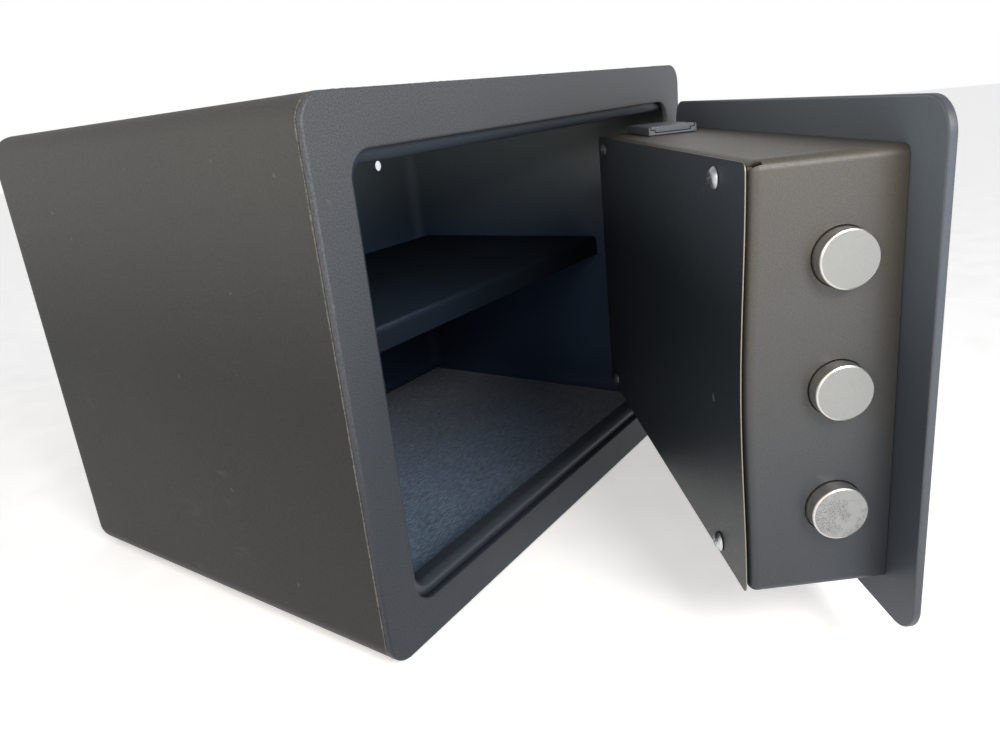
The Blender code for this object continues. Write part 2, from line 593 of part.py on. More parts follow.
def build_knob():
    at = (KNOB_X, FRONT, KNOB_Z)
    radius = KNOB_DIAMETER / 2
    seat = 0.004
    profile = [(0, -seat), (radius - 0.001, -seat), (radius, -seat - 0.001), (radius, -seat - 0.006),
               (radius - 0.004, -seat - 0.009), (radius - 0.004, -KNOB_HEIGHT + 0.002),
               (radius - 0.006, -KNOB_HEIGHT), (0, -KNOB_HEIGHT)]
    knob = turned("knob", at, profile, "Y", 40)
    socket = bored("knob_socket", (KNOB_X, FRONT - seat, KNOB_Z), SPINDLE_DIAMETER + 0.0006, 0.024, "Y", 24)
    grip = []
    for i in range(8):
        angle = math.radians(i * 45 + 22.5)
        place = (KNOB_X + radius * math.cos(angle), FRONT - KNOB_HEIGHT + 0.003, KNOB_Z + radius * math.sin(angle))
        grip.append(cylinder(f"grip_{i}", place, 0.009, 0.020, "Y", 12, cutter=True))
    finish(cut(knob, socket, *grip), "black_plastic", True)

    outer = SPINDLE_DIAMETER / 2 + 0.002
    flange = SPINDLE_DIAMETER / 2 + 0.005
    inner = SPINDLE_DIAMETER / 2 + 0.0002
    rim = FRONT - 0.0020 - FIT_GAP
    bush = cylinder("spindle_bush", (KNOB_X, FRONT - FIT_GAP - 0.001, KNOB_Z), flange * 2, 0.002, "Y", 32)
    sleeve = cylinder("bush_sleeve", (KNOB_X, (rim + DOOR_BACK) / 2, KNOB_Z), outer * 2, DOOR_BACK - rim, "Y", 32, True)
    cut(bush, sleeve, operation="UNION")
    cut(bush, bored("bush_bore", (KNOB_X, FRONT, KNOB_Z), inner * 2, 0.05, "Y", 32))
    finish(bush, "brass", True)

    spindle_front = FRONT - 0.014
    spindle_back = CAM_Y + CAM_THICKNESS + 0.0025
    middle = (spindle_front + spindle_back) / 2
    spindle = cylinder("knob_spindle", (KNOB_X, middle, KNOB_Z), SPINDLE_DIAMETER, spindle_back - spindle_front, "Y", 24)
    finish(spindle, "zinc", True)

    cam = cylinder("lock_cam", (KNOB_X, CAM_Y + CAM_THICKNESS / 2, KNOB_Z), CAM_DIAMETER, CAM_THICKNESS, "Y", 40)
    cut(cam, bored("cam_bore", (KNOB_X, CAM_Y, KNOB_Z), SPINDLE_DIAMETER + 0.0006, 0.05, "Y", 24))
    for label, angle in (("open", 0), ("shut", math.pi / 2)):
        place = (KNOB_X + CAM_DIAMETER / 2 * math.cos(angle), CAM_Y, KNOB_Z + CAM_DIAMETER / 2 * math.sin(angle))
        cut(cam, bored(f"cam_notch_{label}", place, 0.008, 0.02, "Y", 16))
    crank_x = KNOB_X + CRANK_RADIUS * math.sin(math.radians(45))
    crank_z = KNOB_Z - CRANK_RADIUS * math.cos(math.radians(45))
    pin_back = BAR_Y + BAR_THICKNESS + 0.001
    pin = cylinder("crank_pin", (crank_x, (CAM_Y + 0.001 + pin_back) / 2, crank_z), CRANK_PIN_DIAMETER,
                   pin_back - CAM_Y - 0.001, "Y", 16, cutter=True)
    finish(cut(cam, pin, operation="UNION"), "zinc", True)


# ---------------------------------------------------------------- key lock, keypad and what they drive
def build_key_lock():
    back = FRONT + BARREL_LENGTH
    front = FRONT - 0.0025
    barrel = cylinder("lock_barrel", (KNOB_X, (front + back) / 2, KEY_Z), BARREL_DIAMETER, back - front, "Y", 32)
    cut(barrel, bored("plug_bore", (KNOB_X, (front + back) / 2, KEY_Z), PLUG_DIAMETER + 0.0004, 0.06, "Y", 24))
    rim = cylinder("barrel_rim", (KNOB_X, front + 0.0011, KEY_Z), BARREL_DIAMETER + 0.006, 0.0022, "Y", 32, True)
    rim_bore = bored("rim_bore", (KNOB_X, front, KEY_Z), PLUG_DIAMETER + 0.0004, 0.06, "Y", 24)
    cut(barrel, rim, operation="UNION")
    finish(cut(barrel, rim_bore), "zinc", True)

    plug = cylinder("key_plug", (KNOB_X, (front + back) / 2 + 0.0015, KEY_Z), PLUG_DIAMETER, back - front + 0.003, "Y", 24)
    keyway = block("keyway", (KNOB_X - 0.0009, front - 0.002, KEY_Z - 0.0036),
                   (KNOB_X + 0.0009, back - 0.006, KEY_Z + 0.0036), cutter=True)
    finish(cut(plug, keyway), "brass", True)
    tail_front = back + 0.003 + FIT_GAP
    tail = block("lock_tail", (KNOB_X - 0.004, tail_front, KEY_Z - 0.005),
                 (KNOB_X + 0.004, tail_front + 0.002, KEY_Z + 0.014), origin=(KNOB_X, tail_front, KEY_Z))
    finish(tail, "zinc", True)

    pivot_z = KEY_Z + 0.019
    cover_radius = 0.0145
    plate_front = front - 0.0022
    cover = cylinder("keyhole_cover", (KNOB_X, plate_front + 0.0008, KEY_Z), cover_radius * 2, 0.0016, "Y", 32)
    tab = block("cover_tab", (KNOB_X - 0.005, plate_front, KEY_Z + 0.006),
                (KNOB_X + 0.005, plate_front + 0.0016, pivot_z + 0.005), cutter=True)
    cut(cover, tab, operation="UNION")
    cut(cover, bored("tab_bore", (KNOB_X, plate_front, pivot_z), 0.0034, 0.02, "Y", 16))
    finish(cover, "black_plastic", True)
    profile = [(0, -0.0065), (0.0028, -0.0062), (0.0028, -0.0052), (0.0015, -0.0052), (0.0015, -FIT_GAP), (0, -FIT_GAP)]
    finish(turned("cover_rivet", (KNOB_X, FRONT, pivot_z), list(reversed(profile)), "Y", 16), "zinc", True)


def build_keypad():
    low_x, high_x = KEYPAD_X - KEYPAD_WIDTH / 2, KEYPAD_X + KEYPAD_WIDTH / 2
    low_z, high_z = CASE_MIDDLE - KEYPAD_HEIGHT / 2, CASE_MIDDLE + KEYPAD_HEIGHT / 2
    face = KEYPAD_BACK - KEYPAD_DEPTH
    outline = rounded_outline(low_x, high_x, low_z, high_z, 0.010)
    housing = upright_plate("keypad_housing", outline, face, KEYPAD_BACK)
    soften(housing, 0.0015, 2, 50)
    floor = face + 0.0055
    first = low_z + 0.0145
    for number in range(1, BUTTON_COUNT + 1):
        z = first + (number - 1) * BUTTON_PITCH
        play = 0.0004
        pocket = rounded_outline(KEYPAD_X - BUTTON_WIDTH / 2 - play, KEYPAD_X + BUTTON_WIDTH / 2 + play,
                                 z - BUTTON_HEIGHT / 2 - play, z + BUTTON_HEIGHT / 2 + play, 0.0034, 3)
        cut(housing, upright_plate(f"button_pocket_{number}", pocket, face - 0.01, floor, cutter=True))
        cap = rounded_outline(KEYPAD_X - BUTTON_WIDTH / 2, KEYPAD_X + BUTTON_WIDTH / 2,
                              z - BUTTON_HEIGHT / 2, z + BUTTON_HEIGHT / 2, 0.003, 3)
        back = floor - BUTTON_TRAVEL - 0.0005
        finish(upright_plate(f"keypad_button_{number}", cap, face - 0.0018, back), "rubber", True)
    sensor_z = high_z - 0.0165
    pocket = rounded_outline(KEYPAD_X - SENSOR_WIDTH / 2 - FIT_GAP, KEYPAD_X + SENSOR_WIDTH / 2 + FIT_GAP,
                             sensor_z - SENSOR_HEIGHT / 2 - FIT_GAP, sensor_z + SENSOR_HEIGHT / 2 + FIT_GAP, 0.0023, 3)
    cut(housing, upright_plate("sensor_pocket", pocket, face - 0.01, face + 0.004, cutter=True))
    window = rounded_outline(KEYPAD_X - SENSOR_WIDTH / 2, KEYPAD_X + SENSOR_WIDTH / 2,
                             sensor_z - SENSOR_HEIGHT / 2, sensor_z + SENSOR_HEIGHT / 2, 0.002, 3)
    finish(upright_plate("fingerprint_window", window, face + 0.0008, face + 0.0037), "sensor_glass", True)
    finish(housing, "black_plastic", True)


BOARD_Y = CASE_BACK - 0.018
SOLENOID_GAP = 0.0092
SOLENOID_LENGTH = 0.028


def build_electrics():
    plunger_z = KNOB_Z
    tip = KNOB_X + CAM_DIAMETER / 2 + 0.0012
    plunger_diameter = 0.006
    body_left = KNOB_X + CAM_DIAMETER / 2 + SOLENOID_GAP
    plunger_y = CAM_Y + CAM_THICKNESS / 2
    body = block("solenoid_body", (body_left, plunger_y - 0.008, plunger_z - 0.009),
                 (body_left + SOLENOID_LENGTH, plunger_y + 0.006, plunger_z + 0.009))
    bore_centre = (body_left + 0.008, plunger_y, plunger_z)
    cut(body, bored("plunger_bore", bore_centre, plunger_diameter + 0.0006, 0.026, "X", 16))
    finish(body, "zinc", True)
    profile = [(0, 0.022), (plunger_diameter / 2, 0.022), (plunger_diameter / 2, 0.001),
               (plunger_diameter / 2 - 0.001, 0), (0, 0)]
    finish(turned("solenoid_plunger", (tip, plunger_y, plunger_z), profile, "X", 16), "bright_steel", True)

    board = block("circuit_board", (0.054, BOARD_Y, CASE_MIDDLE - 0.030), (0.118, BOARD_Y + 0.0016, CASE_MIDDLE + 0.045))
    finish(board, "board", True)

    cell_diameter, cell_length = 0.0142, 0.0500
    tray_left = 0.020
    tray_low = CASE_LOW + 0.004
    tray_front = CASE_FRONT + 0.004
    cell_gap = 0.0008
    count = 4
    wall = 0.0016
    pitch = cell_diameter + cell_gap
    inner_width = cell_length + 0.002
    tray = block("battery_tray", (tray_left, tray_front, tray_low),
                 (tray_left + inner_width + 2 * wall, tray_front + 0.011, tray_low + 2 * pitch + 2 * wall + cell_gap))
    pocket = block("tray_pocket", (tray_left + wall, tray_front + wall, tray_low + wall),
                   (tray_left + wall + inner_width, tray_front + 0.02, tray_low + wall + 2 * pitch + cell_gap), cutter=True)
    finish(cut(tray, pocket), "black_plastic", True)
    radius = cell_diameter / 2
    for number in range(count):
        layer, row = divmod(number, 2)
        y = tray_front + wall + FIT_GAP + radius + layer * pitch
        z = tray_low + wall + cell_gap + radius + row * pitch
        half = cell_length / 2
        profile = [(0, half), (0.0027, half), (0.0027, half - 0.001), (radius, half - 0.001), (radius, -half), (0, -half)]
        cell = turned(f"battery_cell_{number + 1}", (tray_left + wall + 0.001 + half, y, z), profile, "X", 20)
        finish(cell, "battery", True)


def build_wire(name, route, thickness):
    curve = bpy.data.curves.new(name, "CURVE")
    curve.dimensions = "3D"
    curve.bevel_depth = thickness / 2
    curve.bevel_resolution = 2
    curve.use_fill_caps = True
    spline = curve.splines.new("POLY")
    points = smooth_route([Vector(point) for point in route], 6)
    spline.points.add(len(points) - 1)
    for target, point in zip(spline.points, points):
        target.co = (*point, 1)
    wire = bpy.data.objects.new(name, curve)
    SAFE.objects.link(wire)
    return finish(wire, "wire", True)


def smooth_route(route, steps):
    """Points along a Catmull-Rom curve through the route."""
    padded = [route[0] * 2 - route[1], *route, route[-1] * 2 - route[-2]]
    points = []
    for a, b, c, d in zip(padded, padded[1:], padded[2:], padded[3:]):
        for i in range(steps):
            t = i / steps
            points.append(0.5 * ((2 * b) + (c - a) * t + (2 * a - 5 * b + 4 * c - d) * t * t
                                 + (3 * b - a - 3 * c + d) * t ** 3))
    return [*points, route[-1]]


def build_wires():
    board_end = BOARD_Y - 2 * FIT_GAP
    middle = CASE_MIDDLE
    x = KEYPAD_X + 0.017
    build_wire("keypad_cable", [
        (KEYPAD_X, KEYPAD_BACK + 2 * FIT_GAP, middle), (KEYPAD_X, CASE_FRONT + 0.006, middle),
        (KEYPAD_X + 0.006, CASE_FRONT + 0.018, middle + 0.006), (x, board_end - 0.008, middle + 0.016),
        (x, board_end, middle + 0.016),
    ], 0.003)
    body_right = KNOB_X + CAM_DIAMETER / 2 + SOLENOID_GAP + SOLENOID_LENGTH
    x = 0.070
    build_wire("solenoid_wire", [
        (body_right + FIT_GAP, CAM_Y + 0.001, middle - 0.004), (body_right + 0.010, CAM_Y + 0.001, middle - 0.004),
        (body_right + 0.030, CAM_Y + 0.002, middle - 0.012), (x, board_end - 0.006, middle - 0.016),
        (x, board_end, middle - 0.016),
    ], 0.002)


def build_light():
    base_low = CASE_HIGH + FIT_GAP
    right = CASE_RIGHT - LIGHT_INSET
    left = right - LIGHT_LENGTH
    front = CASE_FRONT + LIGHT_SETBACK
    back = front + LIGHT_WIDTH
    base = block("light_base", (left, front, base_low), (right, back, base_low + LIGHT_HEIGHT))
    wall = 0.0035
    step = 0.0024
    channel = block("light_channel", (left - 0.01, front + wall, base_low + 0.0012),
                    (right - 0.004, back - wall, base_low + LIGHT_HEIGHT + 0.01), cutter=True)
    rebate = block("light_rebate", (left - 0.01, front + wall - step, base_low + LIGHT_HEIGHT - 0.0018),
                   (right - 0.0025, back - wall + step, base_low + LIGHT_HEIGHT + 0.01), cutter=True)
    finish(cut(base, channel, rebate), "black_plastic", True)
    cover = block("light_lens", (left + 0.0002, front + wall + FIT_GAP, base_low + 0.0012 + FIT_GAP),
                  (right - 0.004 - FIT_GAP, back - wall - FIT_GAP, base_low + LIGHT_HEIGHT))
    lip = block("lens_lip", (left + 0.0002, front + wall - step + FIT_GAP, base_low + LIGHT_HEIGHT - 0.0015),
                (right - 0.0025 - FIT_GAP, back - wall + step - FIT_GAP, base_low + LIGHT_HEIGHT + 0.0002), cutter=True)
    finish(cut(cover, lip, operation="UNION"), "light_plastic", True)


build_body()
build_door_stop()
build_inside()
build_hinge("lower", CASE_MIDDLE - HINGE_SPREAD)
build_hinge("upper", CASE_MIDDLE + HINGE_SPREAD)
build_door()
build_boltwork()
build_knob()
build_key_lock()
build_keypad()
build_electrics()
build_wires()
build_light()
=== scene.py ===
# %% [markdown]
# # Compact gun safe, standing open
#
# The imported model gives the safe's real pieces in their real places. This lesson dresses them:
# first the camera and the light, then the finishes, then the pieces whose edges, bends and
# fabric need more care than a plain solid has.

import json
import math

import bmesh
import bpy
from mathutils import Matrix, Vector, noise


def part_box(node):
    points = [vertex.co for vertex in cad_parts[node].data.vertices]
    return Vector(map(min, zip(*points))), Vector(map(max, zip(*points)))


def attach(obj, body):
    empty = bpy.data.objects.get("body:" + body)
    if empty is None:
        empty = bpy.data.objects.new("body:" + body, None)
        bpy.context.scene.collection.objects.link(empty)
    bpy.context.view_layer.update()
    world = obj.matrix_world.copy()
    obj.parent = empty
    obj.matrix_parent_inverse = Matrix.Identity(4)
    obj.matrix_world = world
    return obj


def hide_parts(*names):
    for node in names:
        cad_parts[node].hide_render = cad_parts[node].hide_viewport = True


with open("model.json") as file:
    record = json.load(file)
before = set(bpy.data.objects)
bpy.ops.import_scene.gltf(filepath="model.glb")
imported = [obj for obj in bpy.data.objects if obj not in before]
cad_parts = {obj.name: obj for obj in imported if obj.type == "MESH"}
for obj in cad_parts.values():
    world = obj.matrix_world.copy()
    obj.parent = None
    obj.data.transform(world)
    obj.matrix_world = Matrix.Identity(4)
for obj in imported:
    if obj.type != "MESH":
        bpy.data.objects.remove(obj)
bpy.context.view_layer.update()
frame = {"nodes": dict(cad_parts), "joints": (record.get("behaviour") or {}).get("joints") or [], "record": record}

# %% [markdown]
# ## Where the door is
#
# The door stands open in the model. Its pieces are easier to build on a closed door, square to
# the body, and then turned open round the hinge line. The hinge joint says where that line is,
# and its lower limit says how far the door has been swung from shut.

# %% Turn between the closed door and the open one
hinge = next(joint for joint in frame["joints"] if joint["name"] == "door_hinge")
pivot = Vector(hinge["pos_m"])
rest_angle = -math.radians(hinge["range_deg"][0])
SWING = Matrix.Translation(pivot) @ Matrix.Rotation(rest_angle, 4, "Z") @ Matrix.Translation(-pivot)
UNSWING = SWING.inverted()
body_of = {
    node: body
    for body, members in frame["record"]["behaviour"]["bodies"].items()
    for node in members
}


def closed_box(node):
    """Lowest and highest corner of a door piece, as if the door were shut."""
    points = [UNSWING @ vertex.co for vertex in frame["nodes"][node].data.vertices]
    low = Vector(min(point[axis] for point in points) for axis in range(3))
    high = Vector(max(point[axis] for point in points) for axis in range(3))
    return low, high


frame_low, frame_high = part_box("front_frame")
shell_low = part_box("body_shell")[0]
panel_low, panel_high = closed_box("door_panel")
case_low, case_high = closed_box("lock_case")
cover_low, cover_high = closed_box("case_cover")
print("door open", round(math.degrees(rest_angle), 1), "degrees")
print("door panel", [round(1000 * side, 1) for side in panel_high - panel_low], "mm")

# %% [markdown]
# ## The camera
#
# A phone held close, a little lower than the top of the safe and to its left. A camera is aimed
# by three angles: how far it turns round, how far it looks down and how far it leans. Its matrix
# is built from those, because a camera looks along its own -Z with +Y up.

# %% Aim the camera
turn, tilt, lean = math.radians(37.705), math.radians(17.742), math.radians(-6.555)
ahead = Vector((math.cos(turn) * math.cos(tilt), math.sin(turn) * math.cos(tilt), -math.sin(tilt)))
right = Vector((math.sin(turn), -math.cos(turn), 0))
down = ahead.cross(right)
leaning_right = math.cos(lean) * right - math.sin(lean) * down
leaning_down = math.sin(lean) * right + math.cos(lean) * down
camera_data = bpy.data.cameras.new("camera")
camera = bpy.data.objects.new("camera", camera_data)
bpy.context.scene.collection.objects.link(camera)
view_matrix = Matrix((leaning_right, -leaning_down, -ahead)).transposed().to_4x4()
view_matrix.translation = (-0.37246, -0.34772, 0.23845)
camera.matrix_world = view_matrix
camera_data.sensor_width = 36
camera_data.lens = 27.88
camera_data.shift_x = 0.0229
camera_data.shift_y = -0.0206
camera_data.clip_start = 0.01
bpy.context.scene.camera = camera
print("camera stands at", [round(value, 3) for value in camera.location])

# %% [markdown]
# ## Light and floor
#
# Dark paint shows its shape only by what it reflects. The sky is white near the horizon and
# falls off overhead, as in a room whose light comes from windows. The key light stands in front
# and to the left, so the open door throws its shadow over the right half of the inside. A warm
# panel on the left and a cool one low in front tint the planes that face them, and a faint glow
# inside lifts the back out of black. The floor is plain and pale and belongs to the stage, not to
# the safe.

# %% Light the stage
world = bpy.data.worlds.new("studio")
world.use_nodes = True
sky = world.node_tree
direction = sky.nodes.new("ShaderNodeTexCoord")
heights = sky.nodes.new("ShaderNodeSeparateXYZ")
overhead = sky.nodes.new("ShaderNodeMapRange")
overhead.inputs["From Min"].default_value = 0.22
overhead.inputs["From Max"].default_value = 0.75
tones = sky.nodes.new("ShaderNodeMix")
tones.data_type = "RGBA"
tones.inputs[6].default_value = (1.0, 1.0, 1.0, 1)
tones.inputs[7].default_value = (0.32, 0.32, 0.33, 1)
sky.links.new(direction.outputs["Generated"], heights.inputs[0])
sky.links.new(heights.outputs["Z"], overhead.inputs["Value"])
sky.links.new(overhead.outputs[0], tones.inputs[0])
sky.links.new(tones.outputs[2], sky.nodes["Background"].inputs["Color"])
bpy.context.scene.world = world
bpy.context.scene.view_settings.view_transform = "Standard"


def soft_panel(name, place, target, size, power, colour):
    data = bpy.data.lights.new(name, "AREA")
    data.shape = "DISK"
    data.size = size
    data.energy = power
    data.color = colour
    lamp = bpy.data.objects.new(name, data)
    lamp.location = place
    lamp.rotation_euler = (Vector(target) - Vector(place)).to_track_quat("-Z", "Y").to_euler()
    bpy.context.scene.collection.objects.link(lamp)
    return lamp


soft_panel("key_panel", (-0.37, -0.72, 0.52), (-0.05, -0.15, 0.12), 0.30, 4.5, (1.0, 0.975, 0.94))
soft_panel("warm_panel", (-0.95, -0.30, 0.50), (-0.10, -0.25, 0.16), 0.40, 3.0, (1.0, 0.86, 0.68))
soft_panel("cool_panel", (-0.30, -0.85, 0.08), (-0.02, -0.12, 0.03), 0.30, 0.7, (0.50, 0.70, 1.0))
inside_glow = soft_panel("inside_glow", (-0.05, -0.10, 0.20), (-0.08, 0.12, 0.18), 0.10, 0.15,
                         (0.70, 0.85, 1.0))
inside_glow.visible_camera = False
floor_mesh = bpy.data.meshes.new("floor")
floor_mesh.from_pydata([(-6, -6, 0), (6, -6, 0), (6, 6, 0), (-6, 6, 0)], [], [(0, 1, 2, 3)])
floor = bpy.data.objects.new("floor", floor_mesh)
floor.location.z = -0.0004
bpy.context.scene.collection.objects.link(floor)

# %% [markdown]
# ## Sums on shader sockets
#
# A finish is a small calculation: some noise, a threshold, a blend of two colours. Blender holds
# it as nodes joined by links. Wrapping one output socket in a class that knows + - * and / lets
# the calculation be written as it is thought, and each operation adds its Math node.


# %% A socket with arithmetic
class Signal:
    """One output of a shader node. Arithmetic on it adds Math nodes."""

    def __init__(self, finish, socket):
        self.finish = finish
        self.socket = socket

    def math(self, operation, other, swapped=False):
        first, second = (other, self) if swapped else (self, other)
        return self.finish.node("ShaderNodeMath", {"operation": operation}, {0: first, 1: second})

    def __add__(self, other):
        return self.math("ADD", other)

    def __sub__(self, other):
        return self.math("SUBTRACT", other)

    def __mul__(self, other):
        return self.math("MULTIPLY", other)

    def __truediv__(self, other):
        return self.math("DIVIDE", other)

    def __radd__(self, other):
        return self.math("ADD", other, swapped=True)

    def __rsub__(self, other):
        return self.math("SUBTRACT", other, swapped=True)

    def __rmul__(self, other):
        return self.math("MULTIPLY", other, swapped=True)

    def __rtruediv__(self, other):
        return self.math("DIVIDE", other, swapped=True)

    def ramp(self, low, high):
        """0 below low, 1 above high, and smooth between them."""
        settings = {"interpolation_type": "SMOOTHSTEP"}
        values = {"Value": self, "From Min": low, "From Max": high}
        return self.finish.node("ShaderNodeMapRange", settings, values)


class Finish:
    """A material being built: its nodes and its one Principled shader."""

    def __init__(self, name, **constants):
        self.material = bpy.data.materials.new(name)
        self.material.use_nodes = True
        self.tree = self.material.node_tree
        self.shader = self.tree.nodes["Principled BSDF"]
        self.place = self.node("ShaderNodeTexCoord", output="Object")
        self.wire(**constants)

    def node(self, kind, settings=None, values=None, output=0):
        made = self.tree.nodes.new(kind)
        for key, value in (settings or {}).items():
            setattr(made, key, value)
        for key, value in (values or {}).items():
            self.feed(made.inputs[key], value)
        return Signal(self, made.outputs[output])

    def feed(self, socket, value):
        if isinstance(value, Signal):
            self.tree.links.new(value.socket, socket)
        else:
            socket.default_value = value

    def wire(self, **values):
        for key, value in values.items():
            self.feed(self.shader.inputs[key.replace("_", " ")], value)

    def grain(self, scale, detail=2.0, roughness=0.5, place=None):
        values = {"Vector": place or self.place, "Scale": scale, "Detail": detail, "Roughness": roughness}
        return self.node("ShaderNodeTexNoise", None, values)

    def stretched(self, x, y, z):
        return self.node("ShaderNodeMapping", None, {"Vector": self.place, "Scale": (x, y, z)})

    def height(self):
        """How high the shaded point stands on the piece, in metres."""
        return self.node("ShaderNodeSeparateXYZ", None, {0: self.place}, output=2)

    def blend(self, share, first, second, how="MIX"):
        settings = {"data_type": "RGBA", "blend_type": how}
        return self.node("ShaderNodeMix", settings, {0: share, 6: first, 7: second}, output=2)

    def bumps(self, height, distance, strength=1.0):
        values = {"Height": height, "Distance": distance, "Strength": strength}
        return self.node("ShaderNodeBump", None, values)


def rgb(red, green, blue):
    return (red, green, blue, 1.0)


# %% [markdown]
# ## Powder coat
#
# The paint is a baked powder that melts into a fine sandy skin. Up close each grain is under a
# millimetre and catches its own speck of light, so the coat is a height map of two noises, with
# the same noise nudging the colour and the gloss. A slow, wide noise keeps large panels from
# looking printed, and a few pale specks of lint sit on top. A coat may also carry painted light:
# one tone multiplied in at its foot and another at its head, mostly painted shade low down and a
# painted highlight high up, which gives a large dark face the look of light falling from above.


# %% Powder coat
def powder_coat(name, colour, light_colour, gloss=0.5, grit=1.0, scale=1700, scuffs=0.0, lint=0.2,
                shine=0.5, foot=None, head=None, climb=(0.03, 0.235)):
    """foot and head are painted shade and painted light, multiplied in below and above the two heights in climb.
    """
    coat = Finish(name, Specular_IOR_Level=shine)
    sand = coat.grain(scale, detail=3, roughness=0.65)
    cloud = coat.grain(9, detail=3)
    grains = sand.ramp(0.34, 0.68)
    tone = 0.5 + 0.62 * grit * (grains - 0.5) + 0.38 * (cloud - 0.5)
    paint = coat.blend(tone, rgb(*colour), rgb(*light_colour))
    # Painted light by height: the foot tone paints shade low on the piece, the head tone paints light high up.
    if foot:
        painted_light_and_shade = coat.blend(coat.height().ramp(*climb), rgb(*foot), rgb(*head))
        paint = coat.blend(1.0, paint, painted_light_and_shade, how="MULTIPLY")
    specks = coat.grain(160, detail=1).ramp(0.78, 0.82) * lint
    rubbed = coat.grain(140, detail=4, place=coat.stretched(1, 0.35, 1)).ramp(0.60, 0.72)
    rubbed = rubbed * coat.grain(14, detail=2).ramp(0.52, 0.66) * scuffs
    coat.wire(
        Base_Color=coat.blend(specks + rubbed, paint, rgb(0.22, 0.215, 0.205)),
        Roughness=gloss - 0.10 * grains + 0.12 * (cloud - 0.5),
        Normal=coat.bumps(sand, 0.00016, 0.5 * grit),
    )
    return coat.material


# The foot and head tones in these coats are painted shade and painted light, set for each piece by how the light
# falls on it.
side_paint = powder_coat("side_paint", (0.021, 0.0205, 0.019), (0.040, 0.039, 0.036), 0.56, 0.45,
                         scuffs=0.05, shine=0.24, foot=(0.58, 0.60, 0.65), head=(1.85, 1.92, 2.00),
                         climb=(0.12, 0.245))
front_paint = powder_coat("front_paint", (0.030, 0.031, 0.033), (0.066, 0.068, 0.072), 0.5, 1.3, 1500,
                          shine=0.32, foot=(0.34, 0.43, 0.56), head=(1.38, 1.45, 1.50))
panel_paint = powder_coat("panel_paint", (0.026, 0.029, 0.033), (0.050, 0.056, 0.063), 0.5, 0.4,
                          foot=(1.0, 1.06, 1.12), head=(1.4, 1.45, 1.5))
panel_inside = powder_coat("panel_inside", (0.026, 0.029, 0.033), (0.050, 0.056, 0.063), 0.5, 0.4,
                           foot=(0.72, 0.84, 1.0), head=(2.9, 3.1, 3.25), climb=(0.10, 0.235))
case_paint = powder_coat("case_paint", (0.037, 0.035, 0.032), (0.070, 0.067, 0.060), 0.5, 0.8, 1900,
                         lint=0.0, foot=(0.34, 0.45, 0.64), head=(1.18, 1.10, 0.97))
# The inside's large head tone is painted light that lifts the top of the back wall out of its shade.
inner_paint = powder_coat("inner_paint", (0.016, 0.025, 0.034), (0.034, 0.048, 0.064), 0.65, 0.5,
                          lint=0.0, shine=0.15, foot=(1.0, 1.15, 1.6), head=(8.0, 5.7, 3.9),
                          climb=(0.11, 0.235))
# The shelf's paint is the inner paint made much darker and bluer: painted shade for the dim inside.
shelf_paint = powder_coat("shelf_paint", (0.0022, 0.0045, 0.0085), (0.0060, 0.0100, 0.0160), 0.6, 0.5,
                          lint=0.0, shine=0.2)
stop_paint = powder_coat("stop_paint", (0.016, 0.021, 0.028), (0.042, 0.053, 0.068), 0.44, 0.5)
edge_paint = powder_coat("edge_paint", (0.030, 0.029, 0.028), (0.120, 0.112, 0.100), 0.5, 1.4, 900)
print("paints", side_paint.name, front_paint.name, case_paint.name, inner_paint.name)

# %% [markdown]
# ## Bare and plated metal
#
# Metals keep almost no colour of their own. The bolts are plated and slightly brushed, so their
# roughness wanders and fine rings from the lathe cross it. Zinc is duller and cloudier. The cut
# edge of the cover sheet was never painted and shines as a thin line.


# %% Metals
def plated(name, colour, gloss, ring_scale, spots=0.0):
    metal = Finish(name, Metallic=1.0)
    smear = metal.grain(70, detail=4)
    rings = metal.grain(900, detail=2, place=metal.stretched(ring_scale, 1, 1))
    tint = metal.blend(smear, rgb(*[0.92 * value for value in colour]), rgb(*colour))
    specks = metal.grain(2600, detail=3, roughness=0.7).ramp(0.50, 0.60)
    dirt = specks * metal.grain(150, detail=2).ramp(0.44, 0.58) * spots
    metal.wire(
        Base_Color=metal.blend(dirt, tint, rgb(0.16, 0.16, 0.17)),
        Roughness=gloss + 0.16 * (smear - 0.5) + 0.10 * (rings - 0.5) + 0.25 * dirt,
        Normal=metal.bumps(rings + 0.6 * dirt, 0.00004, 0.35),
    )
    return metal.material


bolt_steel = plated("bolt_steel", (0.60, 0.59, 0.565), 0.34, 0.06)
bolt_face = plated("bolt_face", (0.345, 0.344, 0.330), 0.70, 1.0)
worn_bolt_face = plated("worn_bolt_face", (0.360, 0.360, 0.350), 0.70, 1.0, spots=0.95)
zinc = plated("zinc", (0.58, 0.60, 0.62), 0.36, 1.0)
cut_edge = plated("cut_edge", (0.30, 0.265, 0.215), 0.55, 0.3)
brass = plated("brass", (0.78, 0.58, 0.30), 0.30, 1.0)
print("metals", bolt_steel.name, zinc.name, cut_edge.name, brass.name)

# %% [markdown]
# ## Sheet paint, plastics and rubber
#
# The cover behind the door has a smoother black than the body: the same coat with hardly any
# grit, with painted light that lifts it towards its top. The plastics are moulded with a faint
# spark-eroded texture, and the keypad's glass hides a dark sensor. The floor of the stage is matt
# and gives a little light of its own, so it stays pale under the sky.


# %% Smooth paint and plastics
def moulded(name, colour, gloss, texture, depth, **constants):
    shell = Finish(name, **constants)
    pits = shell.grain(texture, detail=2)
    flow = shell.grain(30, detail=2)
    darker = rgb(*[0.85 * value for value in colour])
    lighter = rgb(*[1.12 * value for value in colour])
    shell.wire(
        Base_Color=shell.blend(flow, darker, lighter),
        Roughness=gloss + 0.08 * (pits - 0.5) + 0.06 * (flow - 0.5),
        Normal=shell.bumps(pits, depth, 0.4),
    )
    return shell.material
